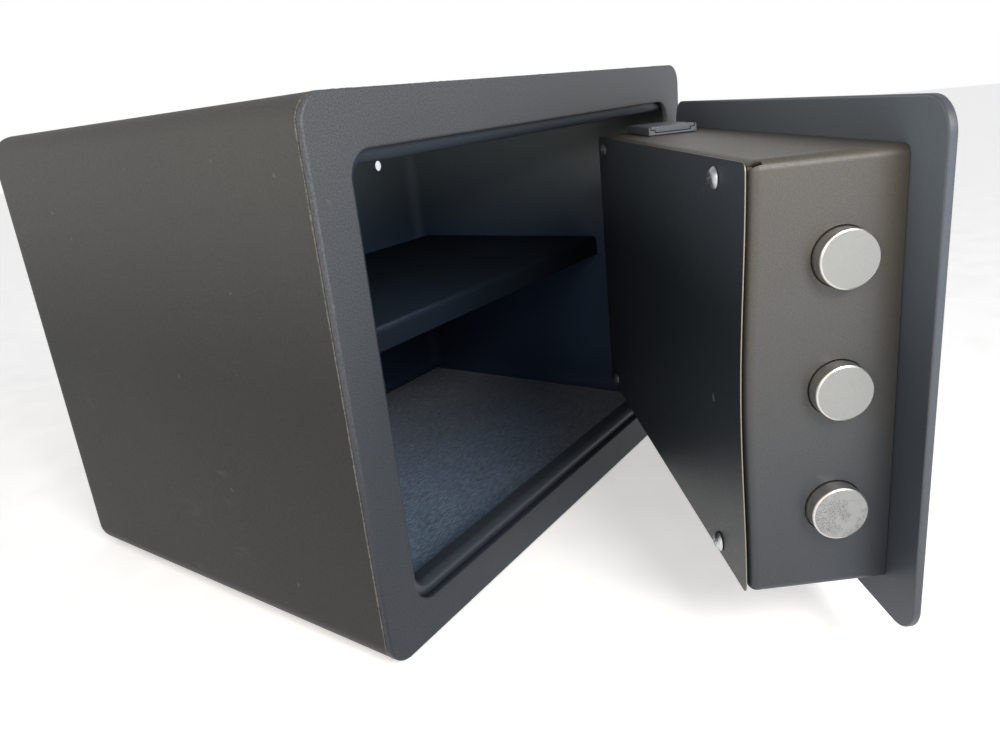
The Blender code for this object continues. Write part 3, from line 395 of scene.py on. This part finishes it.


# The cover's head tone is painted light towards its top.
cover_paint = powder_coat("cover_paint", (0.012, 0.016, 0.020), (0.015, 0.020, 0.025), 0.46, 0.15, lint=0.3,
                          foot=(1.0, 1.0, 1.0), head=(3.4, 3.1, 3.0), climb=(0.14, 0.215))
black_plastic = moulded("black_plastic", (0.020, 0.020, 0.021), 0.46, 1800, 0.00010)
key_rubber = moulded("key_rubber", (0.034, 0.035, 0.037), 0.62, 1500, 0.00008)
light_plastic = moulded("light_plastic", (0.095, 0.107, 0.128), 0.38, 1500, 0.00005)
wire_skin = moulded("wire_skin", (0.030, 0.030, 0.032), 0.48, 900, 0.00005)
cell_sleeve = moulded("cell_sleeve", (0.055, 0.057, 0.062), 0.30, 700, 0.00003)
board_mask = moulded("board_mask", (0.020, 0.130, 0.055), 0.28, 600, 0.00008)
sensor_glass = moulded("sensor_glass", (0.010, 0.014, 0.022), 0.10, 500, 0.00001,
                       Coat_Weight=1.0, Coat_Roughness=0.04)
white_mark = moulded("white_mark", (0.62, 0.62, 0.60), 0.45, 900, 0.00005)
stage_white = moulded("stage_white", (0.88, 0.88, 0.88), 0.90, 200, 0.00001,
                      Emission_Color=rgb(1, 1, 1), Emission_Strength=0.40)
floor_mesh.materials.append(stage_white)

# %% [markdown]
# ## Felt
#
# The mat is short needle-punched felt. Its fibres lie every way, so three stretched noises at
# different angles are laid over each other, dark roots under pale tips, with no gloss but a
# little sheen where fibres stand on end. Over the nap lies a painted shadow, darker towards the
# hinge side, where the open door keeps the light off it.


# %% Felt
def fibres(felt, angle, scale, length):
    turned = felt.node(
        "ShaderNodeMapping", None, {"Vector": felt.place, "Rotation": (0, 0, angle), "Scale": (length, 1, 1)}
    )
    return felt.grain(scale, detail=3, roughness=0.6, place=turned)


felt = Finish("felt", Specular_IOR_Level=0.1, Sheen_Weight=0.25, Sheen_Roughness=0.5)
strands = (fibres(felt, 0.4, 1500, 0.16) + fibres(felt, 1.5, 1300, 0.14) + fibres(felt, 2.5, 1600, 0.18)) / 3
matted = felt.grain(55, detail=4)
tips = strands.ramp(0.40, 0.62)
# Painted shadow of the open door: the felt's colour darkens across x towards the hinge side.
fade = felt.node("ShaderNodeSeparateXYZ", None, {0: felt.place}).ramp(-0.14, 0.16)
shade = felt.blend(fade, rgb(1.1, 1.1, 1.1), rgb(0.34, 0.42, 0.50))
nap = felt.blend(0.7 * tips + 0.3 * matted, rgb(0.014, 0.032, 0.062), rgb(0.165, 0.238, 0.345))
felt.wire(
    Base_Color=felt.blend(1.0, nap, shade, how="MULTIPLY"),
    Roughness=0.96 - 0.08 * tips,
    Normal=felt.bumps(strands + 0.4 * matted, 0.0011, 0.8),
)
felt_cloth = felt.material
print("felt fibres", 3, "layers")

# %% [markdown]
# ## Tools for sheet metal
#
# Almost everything here is sheet: an outline cut from plate, with its edges broken. Blender's 2D
# curve does exactly that. It fills the space between an outline and its holes, gives it
# thickness and rounds the rim, all from numbers. A settle step then smooths the shading, gives
# the piece its finish, turns door pieces open and says which body carries it.


# %% Settle a piece
def settle(piece, body, material, stands_for=(), sharp=32):
    piece.data.materials.clear()
    for one in material if isinstance(material, tuple) else (material,):
        piece.data.materials.append(one)
    piece.data.shade_smooth()
    piece.data.set_sharp_from_angle(angle=math.radians(sharp))
    weighted = piece.modifiers.new("even_normals", "WEIGHTED_NORMAL")
    weighted.keep_sharp = True
    if body != "body":
        piece.matrix_world = SWING @ piece.matrix_world
    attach(piece, body)
    if stands_for:
        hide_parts(*stands_for)
    return piece


def finish_solids(groups):
    """Gives solids that keep their shape a finish of their own, and counts them."""
    for material, nodes in groups.items():
        for node in nodes:
            frame["nodes"][node].data.materials[0] = material
    return sum(len(nodes) for nodes in groups.values())


def link_bmesh(name, bm):
    mesh = bpy.data.meshes.new(name)
    bm.to_mesh(mesh)
    bm.free()
    piece = bpy.data.objects.new(name, mesh)
    bpy.context.scene.collection.objects.link(piece)
    return piece


def baked(piece):
    """The piece with its modifiers or curve turned into plain mesh."""
    bpy.context.view_layer.update()
    graph = bpy.context.evaluated_depsgraph_get()
    mesh = bpy.data.meshes.new_from_object(piece.evaluated_get(graph))
    name = piece.name
    matrix = piece.matrix_world.copy()
    bpy.data.objects.remove(piece)
    mesh.name = name
    made = bpy.data.objects.new(name, mesh)
    mesh.transform(matrix)
    bpy.context.scene.collection.objects.link(made)
    return made


# %% Outlines, lofts and plates
CORNER_STEPS = 14
TINY = 1e-6


def quarter(steps):
    """The angles that divide a quarter turn into equal steps, both ends included."""
    return [math.radians(90 * i / steps) for i in range(steps + 1)]


def rounded(low_x, high_x, low_z, high_z, radius, steps=10):
    """A rounded rectangle as (x, z) points, anticlockwise."""
    centres = [(high_x - radius, high_z - radius), (low_x + radius, high_z - radius),
               (low_x + radius, low_z + radius), (high_x - radius, low_z + radius)]
    points = []
    for corner, (x, z) in enumerate(centres):
        for i in range(steps + 1):
            angle = math.radians(90 * (corner + i / steps))
            points.append((x + radius * math.cos(angle), z + radius * math.sin(angle)))
    return points


def ring(x, z, radius, steps=32):
    angles = [2 * math.pi * i / steps for i in range(steps)]
    return [(x + radius * math.cos(angle), z + radius * math.sin(angle)) for angle in angles]


def loft(bm, rows):
    """Faces between each closed row of vertices and the next."""
    for near, far in zip(rows, rows[1:]):
        for i in range(len(near)):
            bm.faces.new((near[i - 1], near[i], far[i], far[i - 1]))


def plate(name, outline, holes, front, back, edge):
    """An upright plate with rounded edges. The outline goes anticlockwise and holes are turned round."""
    curve = bpy.data.curves.new(name, "CURVE")
    curve.dimensions = "2D"
    curve.fill_mode = "BOTH"
    curve.extrude = (back - front) / 2 - edge
    curve.bevel_depth = edge
    curve.bevel_resolution = 2
    curve.offset = -edge
    for loop in [outline, *[list(reversed(hole)) for hole in holes]]:
        spline = curve.splines.new("POLY")
        spline.use_cyclic_u = True
        spline.points.add(len(loop) - 1)
        for point, (x, z) in zip(spline.points, loop):
            point.co = (x, z, 0, 1)
    piece = bpy.data.objects.new(name, curve)
    piece.location = (0, (front + back) / 2, 0)
    piece.rotation_euler = (math.pi / 2, 0, 0)
    bpy.context.scene.collection.objects.link(piece)
    made = baked(piece)
    bm = bmesh.new()
    bm.from_mesh(made.data)
    bmesh.ops.remove_doubles(bm, verts=bm.verts, dist=1e-6)
    bmesh.ops.recalc_face_normals(bm, faces=bm.faces)
    bm.to_mesh(made.data)
    bm.free()
    return made


# %% Lathe, cutters and polishing
TURN_TO = {
    "X": Matrix.Rotation(math.pi / 2, 4, "Y"),
    "Y": Matrix.Rotation(-math.pi / 2, 4, "X"),
    "Z": Matrix.Identity(4),
}


def lathe(name, profile, place, axis, steps=56):
    """Spins (radius, height) points round the axis. The profile runs from its high end down."""
    bm = bmesh.new()
    rings = []
    for radius, height in profile:
        if radius < TINY:
            rings.append([bm.verts.new((0, 0, height))])
            continue
        angles = [2 * math.pi * i / steps for i in range(steps)]
        rings.append([bm.verts.new((radius * math.cos(a), radius * math.sin(a), height)) for a in angles])
    for upper, lower in zip(rings, rings[1:]):
        for i in range(steps):
            after = i + 1
            quad = [upper[i % len(upper)], upper[after % len(upper)],
                    lower[after % len(lower)], lower[i % len(lower)]]
            bm.faces.new(list(dict.fromkeys(quad)))
    bmesh.ops.recalc_face_normals(bm, faces=bm.faces)
    bmesh.ops.transform(bm, matrix=Matrix.Translation(place) @ TURN_TO[axis], verts=bm.verts)
    return link_bmesh(name, bm)


def carve(piece, cutters, operation="DIFFERENCE"):
    for cutter in cutters:
        boolean = piece.modifiers.new("carve", "BOOLEAN")
        boolean.operation = operation
        boolean.solver = "EXACT"
        boolean.object = cutter
    made = baked(piece)
    for cutter in cutters:
        bpy.data.objects.remove(cutter)
    return made


def brick(name, low, high, turn=0.0):
    """A block between two corners, turned about Y on its own centre."""
    low, high = Vector(low), Vector(high)
    bm = bmesh.new()
    bmesh.ops.create_cube(bm, size=1.0)
    bmesh.ops.scale(bm, vec=high - low, verts=bm.verts)
    matrix = Matrix.Translation((low + high) / 2) @ Matrix.Rotation(turn, 4, "Y")
    bmesh.ops.transform(bm, matrix=matrix, verts=bm.verts)
    return link_bmesh(name, bm)


def polished(node, edge, material, steps=2):
    """A copy of a solid with flat faces joined up and every sharp edge broken."""
    bm = bmesh.new()
    bm.from_mesh(frame["nodes"][node].data)
    if body_of[node] != "body":
        bmesh.ops.transform(bm, matrix=UNSWING, verts=bm.verts)
    bmesh.ops.remove_doubles(bm, verts=bm.verts, dist=2e-6)
    bmesh.ops.dissolve_limit(bm, angle_limit=math.radians(0.5), verts=bm.verts, edges=bm.edges)
    piece = link_bmesh("fine_" + node, bm)
    bevel = piece.modifiers.new("broken_edge", "BEVEL")
    bevel.width = edge
    bevel.segments = steps
    bevel.limit_method = "ANGLE"
    bevel.angle_limit = math.radians(38)
    return settle(baked(piece), body_of[node], material, [node])

# %% [markdown]
# ## The body
#
# The body is one sheet wrapped round four rounded corners. At the back it bends in again, into
# a flat with two anchor holes. At the front a thicker plate closes it, with the door's opening in
# it. The door fits inside the opening, so the opening is found from the door: a little larger all
# round. The wrap is a loft of its outline: two rows along the straight, ten through the bend.

# %% Front plate, wrap and back
corner, plate_edge = 0.0125, 0.0011
wrap_wall, back_bend = 0.002, 0.011
door_side_gap, door_end_gap, opening_corner = 0.002, 0.001, 0.012
opening = (panel_low.x - door_side_gap, panel_high.x + door_side_gap,
           panel_low.z - door_end_gap, panel_high.z + door_end_gap)
outer = (frame_low.x, frame_high.x, frame_low.z, frame_high.z)
front_plate = plate("front_plate", rounded(*outer, corner, CORNER_STEPS),
                    [rounded(*opening, opening_corner, CORNER_STEPS)], frame_low.y, frame_high.y, plate_edge)
settle(front_plate, "body", front_paint, ["front_frame"])

back_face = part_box("back_panel")[1].y
stations = [(0.0, shell_low.y), (0.0, back_face - back_bend)]
for angle in quarter(10)[1:]:
    stations.append((back_bend * (1 - math.cos(angle)), back_face - back_bend * (1 - math.sin(angle))))
bm = bmesh.new()
rows = []
for inset, y in stations:
    outline = rounded(outer[0] + inset, outer[1] - inset, outer[2] + inset, outer[3] - inset,
                      corner - inset, CORNER_STEPS)
    rows.append([bm.verts.new((x, y, z)) for x, z in outline])
loft(bm, rows)
bm.faces.new(rows[-1])
bmesh.ops.recalc_face_normals(bm, faces=bm.faces)
body_wrap = link_bmesh("body_wrap", bm)
if max(body_wrap.data.polygons, key=lambda face: face.area).normal.dot(Vector((0, 1, 0))) < -0.5:
    body_wrap.data.flip_normals()
body_wrap.data.materials.append(side_paint)
body_wrap.data.materials.append(inner_paint)
walls = body_wrap.modifiers.new("sheet", "SOLIDIFY")
walls.thickness = wrap_wall
walls.offset = -1
walls.material_offset = 1
anchor_radius, anchor_height, drill_reach, drill_steps = 0.0045, 0.198, 0.02, 24
floor_anchor_x, wall_anchor_x = 0.09975, 0.133
drill = [(0, drill_reach), (anchor_radius, drill_reach), (anchor_radius, -drill_reach), (0, -drill_reach)]
anchors = [lathe(f"floor_hole_{side}", drill, (side * floor_anchor_x, 0, 0), "Z", drill_steps)
           for side in (-1, 1)]
anchors += [lathe(f"wall_hole_{side}", drill, (side * wall_anchor_x, back_face, anchor_height), "Y",
                  drill_steps) for side in (-1, 1)]
body_wrap = carve(baked(body_wrap), anchors)
inside_faces = [min(face.material_index, 1) for face in body_wrap.data.polygons]
settle(body_wrap, "body", (side_paint, inner_paint), ["body_shell", "back_panel"])
body_wrap.data.polygons.foreach_set("material_index", inside_faces)
print("opening", [round(1000 * value, 1) for value in opening], "mm")
print("inside faces", sum(inside_faces), "of", len(inside_faces))

# %% [markdown]
# ## The painted seam
#
# Where the plate is welded to the wrap the paint bridges the joint and stands a little proud,
# never quite evenly. A thin tube follows the outline, and slow noise thickens and thins it.

# %% Seam
seam_y = (frame_high.y + shell_low.y) / 2
path = []
outline = rounded(*outer, corner, CORNER_STEPS)
seam_step, seam_depth = 0.0012, 0.00028
for (x, z), (next_x, next_z) in zip(outline, outline[1:] + outline[:1]):
    span = math.hypot(next_x - x, next_z - z)
    steps = max(1, round(span / seam_step))
    outward = Vector((next_z - z, 0, x - next_x)).normalized()
    for i in range(steps if span > TINY else 0):
        share = i / steps
        path.append((Vector((x + (next_x - x) * share, seam_y, z + (next_z - z) * share)), outward))
bm = bmesh.new()
rings = []
backward = Vector((0, 1, 0))
around = [math.radians(45 * i) for i in range(8)]
for point, outward in path:
    radius = 0.00042 + 0.00022 * noise.noise(point * 420) + 0.00012 * noise.noise(point * 90)
    centre = point - seam_depth * outward
    rings.append([bm.verts.new(centre + radius * (math.cos(angle) * outward + math.sin(angle) * backward))
                  for angle in around])
loft(bm, rings + rings[:1])
bmesh.ops.recalc_face_normals(bm, faces=bm.faces)
settle(link_bmesh("paint_seam", bm), "body", edge_paint, sharp=80)
print("seam points", len(path))

# %% [markdown]
# ## The folded door stop
#
# Just inside the opening a strip of sheet turns inwards on three sides, and the door shuts
# against it. Its section is an L with a soft bend. Sweeping the section round the opening is a
# matter of drawing the same rounded path again for each point of the section, a little nearer
# the middle and a little deeper each time.

# %% Door stop
sheet_gauge = 0.0015
stop_low, stop_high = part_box("door_stop_frame")
stop_bend, lip_reach = 0.004, -0.006
lip = opening[0] - stop_low.x
section = [(lip - 0.001, 0.0), (0.0, 0.0)]
for angle in quarter(6):
    section.append((lip_reach + stop_bend * (1 - math.sin(angle)), stop_bend * (1 - math.cos(angle))))
section.append((lip_reach, stop_high.y - stop_low.y))


def stop_path(reach, depth):
    """The path at one point of the section: out from the opening's edge by reach, and in by depth."""
    y = stop_low.y + depth
    points = [(stop_high.x, y, opening[2] - reach)]
    for start, z in ((270, opening[2] + opening_corner), (180, opening[3] - opening_corner)):
        for i in range(9):
            angle = math.radians(start - 90 * i / 8)
            radius = opening_corner + reach
            x = opening[0] + opening_corner + radius * math.cos(angle)
            points.append((x, y, z + radius * math.sin(angle)))
    points.append((stop_high.x, y, opening[3] + reach))
    return points


bm = bmesh.new()
rows = [[bm.verts.new(point) for point in stop_path(*step)] for step in section]
for near, far in zip(rows, rows[1:]):
    for i in range(len(near) - 1):
        bm.faces.new((near[i], near[i + 1], far[i + 1], far[i]))
door_stop = link_bmesh("door_stop", bm)
if door_stop.data.polygons[0].normal.y > 0:
    door_stop.data.flip_normals()
sheet_metal = door_stop.modifiers.new("sheet", "SOLIDIFY")
sheet_metal.thickness = sheet_gauge
sheet_metal.offset = -1
settle(baked(door_stop), "body", stop_paint, ["door_stop_frame"])
print("door stop section", len(section), "points")

# %% [markdown]
# ## Shelf and mat
#
# The shelf keeps its solid and only takes a paint of its own, a darker and bluer copy of the
# inside paint that is painted shade. The mat is cut felt laid on the floor: a fine grid whose top
# is lifted and dipped a fraction of a millimetre by noise, with its cut edge rounded down and the
# underside left flat.

# %% Felt mat
mat_low, mat_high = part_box("floor_mat")
across, along = 96, 72
nap_height, rim_droop = 0.0004, 0.0009
bm = bmesh.new()
top = []
for j in range(along + 1):
    row = []
    for i in range(across + 1):
        x = mat_low.x + (mat_high.x - mat_low.x) * i / across
        y = mat_low.y + (mat_high.y - mat_low.y) * j / along
        rim = min(x - mat_low.x, mat_high.x - x, y - mat_low.y, mat_high.y - y)
        fluff = 0.00022 * noise.noise(Vector((x * 240, y * 240, 0)))
        fluff += 0.0003 * noise.noise(Vector((x * 30, y * 30, 4)))
        droop = rim_droop if rim < TINY else 0.0
        row.append(bm.verts.new((x, y, mat_high.z - nap_height + fluff - droop)))
    top.append(row)
for j in range(along):
    for i in range(across):
        bm.faces.new((top[j][i], top[j][i + 1], top[j + 1][i + 1], top[j + 1][i]))
skirt = bmesh.ops.extrude_edge_only(bm, edges=[edge for edge in bm.edges if edge.is_boundary])
lowered = [item for item in skirt["geom"] if isinstance(item, bmesh.types.BMVert)]
for vertex in lowered:
    vertex.co.z = mat_low.z
bmesh.ops.edgeloop_fill(bm, edges=[edge for edge in bm.edges if edge.is_boundary])
bmesh.ops.recalc_face_normals(bm, faces=bm.faces)
felt_mat = link_bmesh("felt_mat", bm)
settle(felt_mat, "body", felt_cloth, ["floor_mat"], sharp=60)
in_body = {
    shelf_paint: ("shelf", "shelf_rail_left", "shelf_rail_right", "hinge_bracket_lower",
                  "hinge_bracket_upper"),
    zinc: ("hinge_pin_lower", "hinge_pin_upper"),
}
kept_solids = finish_solids(in_body)
print("mat", round(1000 * (mat_high.x - mat_low.x)), "by", round(1000 * (mat_high.y - mat_low.y)), "mm")

# %% [markdown]
# ## The door panel
#
# One thick plate with soft corners. Through it go the spindle of the knob, the key lock's barrel
# and the keypad's cable. Its inner face has its own coat, so each face says which of two it takes.

# %% Door panel
bush_low, bush_high = closed_box("spindle_bush")
barrel_low, barrel_high = closed_box("lock_barrel")
keypad_low, keypad_high = closed_box("keypad_housing")
bush_middle = (bush_low + bush_high) / 2
barrel_middle = (barrel_low + barrel_high) / 2
keypad_middle = (keypad_low + keypad_high) / 2
bush_hole, barrel_hole, cable_hole = 0.0063, 0.0093, 0.005
panel_holes = [ring(bush_middle.x, bush_middle.z, bush_hole),
               ring(barrel_middle.x, barrel_middle.z, barrel_hole),
               ring(keypad_middle.x, keypad_middle.z, cable_hole)]
panel_corner, panel_edge = 0.013, 0.0008
panel_outline = rounded(panel_low.x, panel_high.x, panel_low.z, panel_high.z, panel_corner, CORNER_STEPS)
door_skin = plate("door_skin", panel_outline, panel_holes, panel_low.y, panel_high.y, panel_edge)
settle(door_skin, "door", (panel_paint, panel_inside), ["door_panel"])
for face in door_skin.data.polygons:
    face.material_index = 1 if face.normal.y > 0.9 else 0
print("panel corner radius", round(1000 * panel_corner, 1), "mm")

# %% [markdown]
# ## The lock case
#
# Behind the panel sits a tray folded from sheet: four walls, a soft bend at the back and a flange
# that carries the cover. Drawn as a stack of rounded rectangles, each a little smaller or deeper
# than the last, the whole tray is one loft. Its free edge has sprung out a couple of millimetres
# between the corners. Then the bolts' holes and the relief cut at each back corner are carved out.

# %% Lock case
case = (case_low.x, case_high.x, case_low.z, case_high.z)
case_bend, flange, case_corner, tightest_corner = 0.0040, 0.014, 0.0040, 0.0012
case_spring = 0.0020
bolt_hole_radius, hole_reach = 0.0114, 0.012


def sprung(x, z):
    """How far the free edge has sprung out at this place: most at the middle of its height."""
    share_x = min(1.0, max(0.0, (x - case[0]) / (case[1] - case[0])))
    share_z = min(1.0, max(0.0, (z - case[2]) / (case[3] - case[2])))
    return case_spring * math.sin(math.pi * share_z) ** 2 * (1 - share_x) ** 3


def divided(outline, parts):
    """The same outline with each of its long straight sides cut into this many parts."""
    points = []
    for (x, z), (next_x, next_z) in zip(outline, outline[1:] + outline[:1]):
        steps = parts if math.hypot(next_x - x, next_z - z) > 0.05 else 1
        points += [(x + (next_x - x) * i / steps, z + (next_z - z) * i / steps) for i in range(steps)]
    return points


stack = [(0.0, case_low.y)]
for angle in quarter(8):
    stack.append((case_bend * (math.cos(angle) - 1), case_high.y - case_bend * (1 - math.sin(angle))))
stack.append((-flange, case_high.y))
bm = bmesh.new()
rows = []
for grow, y in stack:
    radius = max(case_corner + grow, tightest_corner)
    outline = rounded(case[0] - grow, case[1] + grow, case[2] - grow, case[3] + grow, radius, 8)
    outline = divided(outline, 16)
    rear = max(0.0, (y - case_low.y) / (case_high.y - case_low.y)) ** 2
    rows.append([bm.verts.new((x, y + rear * sprung(x, z), z)) for x, z in outline])
loft(bm, rows)
bmesh.ops.recalc_face_normals(bm, faces=bm.faces)
lock_case = link_bmesh("lock_case_skin", bm)
wall_face = max(lock_case.data.polygons, key=lambda face: face.area)
if wall_face.normal.dot(wall_face.center - (case_low + case_high) / 2) < 0:
    lock_case.data.flip_normals()
sheet_metal = lock_case.modifiers.new("sheet", "SOLIDIFY")
sheet_metal.thickness = sheet_gauge
sheet_metal.offset = -1
bolt_names = ("bottom", "middle", "top")
bolt_boxes = {name: closed_box(f"locking_bolt_{name}") for name in bolt_names}
relief_inset, relief_reach = 0.0005, Vector((0.0034, 0.0046, 0.0008))
cutters = []
for name, (low, high) in bolt_boxes.items():
    place = (case[0], (low.y + high.y) / 2, (low.z + high.z) / 2)
    profile = [(0, hole_reach), (bolt_hole_radius, hole_reach), (bolt_hole_radius, -hole_reach),
               (0, -hole_reach)]
    cutters.append(lathe(f"bolt_hole_{name}", profile, place, "X"))
for x, side_x in ((case[0], -1), (case[1], 1)):
    for z, side_z in ((case[2], -1), (case[3], 1)):
        middle = Vector((x - side_x * relief_inset, case_high.y, z - side_z * relief_inset))
        slant = -side_x * side_z * math.pi / 4
        cutters.append(brick(f"relief_{side_x}_{side_z}", middle - relief_reach, middle + relief_reach,
                             slant))
settle(carve(baked(lock_case), cutters), "door", case_paint, ["lock_case"])
print("case depth", round(1000 * (case_high.y - case_low.y), 1), "mm,", len(stack), "rings in the loft")

# %% [markdown]
# ## The cover sheet
#
# A thin painted sheet held by four screws near its corners. Between them its long free edge
# follows the case's sprung edge, so the sheet is a grid that is pushed out most at the middle of
# that edge. Its cut rim is bare metal, which is what draws the bright line round it.

# %% Case cover
columns, lines = 18, 30
cover_gauge, cover_corner = 0.0004, 0.003
bm = bmesh.new()
grid = []
for j in range(lines + 1):
    share_z = j / lines
    row = []
    for i in range(columns + 1):
        share_x = i / columns
        x = cover_low.x + (cover_high.x - cover_low.x) * share_x
        z = cover_low.z + (cover_high.z - cover_low.z) * share_z
        row.append(bm.verts.new((x, cover_high.y + sprung(x, z), z)))
    grid.append(row)
for j in range(lines):
    for i in range(columns):
        bm.faces.new((grid[j][i], grid[j + 1][i], grid[j + 1][i + 1], grid[j][i + 1]))
sheet_corners = [grid[0][0], grid[0][-1], grid[-1][0], grid[-1][-1]]
bmesh.ops.bevel(bm, geom=sheet_corners, offset=cover_corner, segments=5, profile=0.5, affect="VERTICES")
cover_sheet = link_bmesh("cover_sheet", bm)
if cover_sheet.data.polygons[0].normal.y < 0:
    cover_sheet.data.flip_normals()
cover_sheet.data.materials.append(cover_paint)
cover_sheet.data.materials.append(cut_edge)
thin_sheet = cover_sheet.modifiers.new("sheet", "SOLIDIFY")
thin_sheet.thickness = cover_gauge
thin_sheet.offset = -1
thin_sheet.material_offset_rim = 1
cover_sheet = baked(cover_sheet)
rim_faces = [face.material_index for face in cover_sheet.data.polygons]
settle(cover_sheet, "door", (cover_paint, cut_edge), ["case_cover"])
cover_sheet.data.polygons.foreach_set("material_index", rim_faces)
print("bare rim faces", sum(rim_faces))

# %% [markdown]
# ## Screws
#
# Pan heads with a crossed recess. The head is spun from its outline, and the cross is two thin
# bricks carved into its crown.

# %% Cover screws
head_height, slot_height, turn_each = 0.0024, 0.0020, 0.35
slot_reach = Vector((0.0021, 0.0009, 0.00035))
for number in range(1, 5):
    low, high = closed_box(f"cover_screw_{number}")
    place = Vector(((low.x + high.x) / 2, high.y - head_height, (low.z + high.z) / 2))
    crown = [(0, head_height), (0.0012, 0.00235), (0.0024, 0.0021), (0.0034, 0.0015), (0.0041, 0.0007),
             (0.0044, 0.0002), (0.0043, 0.0), (0.0015, 0.0), (0.0015, -0.008), (0, -0.008)]
    head = lathe(f"pan_screw_{number}", crown, place, "Y", 40)
    slots = []
    slot_middle = place + Vector((0, slot_height, 0))
    for turn_angle in (turn_each * number, turn_each * number + math.pi / 2):
        slots.append(brick("cross", slot_middle - slot_reach, slot_middle + slot_reach, turn_angle))
    settle(carve(head, slots), "door", zinc, [f"cover_screw_{number}"])
print("screws", 4)

# %% [markdown]
# ## Locking bolts
#
# Solid round bars, turned and plated. The side is smooth and mirrors the dark case. The end face
# is dull, with a broken edge round it that draws a thin line. The lowest bolt has met the frame
# most often and its end carries fine dark marks.

# %% Locking bolts
root_chamfer, tip_round, face_ring = 0.0005, 0.0007, 0.0030
thread_radius, thread_depth = 0.0032, 0.016
thread = [(0, thread_depth), (thread_radius, thread_depth), (thread_radius, -thread_depth),
          (0, -thread_depth)]
for name, (low, high) in bolt_boxes.items():
    length, radius = high.x - low.x, (high.z - low.z) / 2
    place = ((low.x + high.x) / 2, (low.y + high.y) / 2, (low.z + high.z) / 2)
    tip = -length / 2
    profile = [(0, length / 2), (radius - root_chamfer, length / 2), (radius, length / 2 - root_chamfer),
               (radius, tip + tip_round), (radius - 0.0002, tip + 0.0003), (radius - tip_round, tip),
               (radius - face_ring, tip), (0, tip)]
    end = worn_bolt_face if name == "bottom" else bolt_face
    bar = lathe(f"bolt_{name}", profile, place, "X", 72)
    bar = carve(bar, [lathe("tapped", thread, (high.x, place[1], place[2]), "X", 24)])
    settle(bar, "boltwork", (bolt_steel, end), [f"locking_bolt_{name}"], sharp=24)
    for face in bar.data.polygons:
        face.material_index = 1 if face.normal.x < -0.99 else 0
print("bolts", round(1000 * 2 * radius, 1), "mm across")

# %% [markdown]
# ## Knob, keypad and key lock
#
# These solids already have the right outlines. Each is copied, its flat faces are joined up, and
# every sharp edge is broken with a small bevel so that it catches the light as moulded or
# machined parts do.

# %% Outside furniture
polished("knob", 0.0007, black_plastic, 3)
polished("keypad_housing", 0.0004, black_plastic, 2)
for number in range(1, 5):
    polished(f"keypad_button_{number}", 0.0008, key_rubber, 3)
polished("fingerprint_window", 0.0003, sensor_glass)
polished("lock_barrel", 0.0004, zinc)
polished("keyhole_cover", 0.0004, black_plastic)
polished("cover_rivet", 0.0002, zinc)
polished("light_base", 0.0003, light_plastic)
polished("light_lens", 0.0003, light_plastic)
knob_low, knob_high = closed_box("knob")
knob_middle = (knob_low + knob_high) / 2
pointer_width, pointer_start, pointer_end = 0.0016, 0.004, 0.0125
pointer_low = (knob_middle.x - pointer_width / 2, knob_low.y - 0.00015, knob_middle.z + pointer_start)
pointer_high = (knob_middle.x + pointer_width / 2, knob_low.y + 0.0006, knob_middle.z + pointer_end)
pointer = brick("knob_pointer", pointer_low, pointer_high)
settle(pointer, "knob", white_mark)
print("knob", round(1000 * (knob_high.x - knob_low.x), 1), "mm across")

# %% [markdown]
# ## What stays inside the case
#
# The boltwork, the solenoid, the board and the cells are seen only when the cover is off. Their
# solids stay as they are and take their finishes by name.

# %% Finishes for the remaining solids
in_case = {
    zinc: ("bolt_bar", "bolt_screw_top", "bolt_screw_middle", "bolt_screw_bottom", "guide_post_lower",
           "guide_post_upper", "knob_spindle", "lock_cam", "lock_tail", "solenoid_body", "solenoid_plunger"),
    brass: ("key_plug", "spindle_bush"),
    panel_paint: ("hinge_arm_lower", "hinge_arm_upper"),
    board_mask: ("circuit_board",),
    black_plastic: ("battery_tray",),
    cell_sleeve: ("battery_cell_1", "battery_cell_2", "battery_cell_3", "battery_cell_4"),
    wire_skin: ("keypad_cable", "solenoid_wire"),
}
kept_solids += finish_solids(in_case)
print("solids kept", kept_solids)
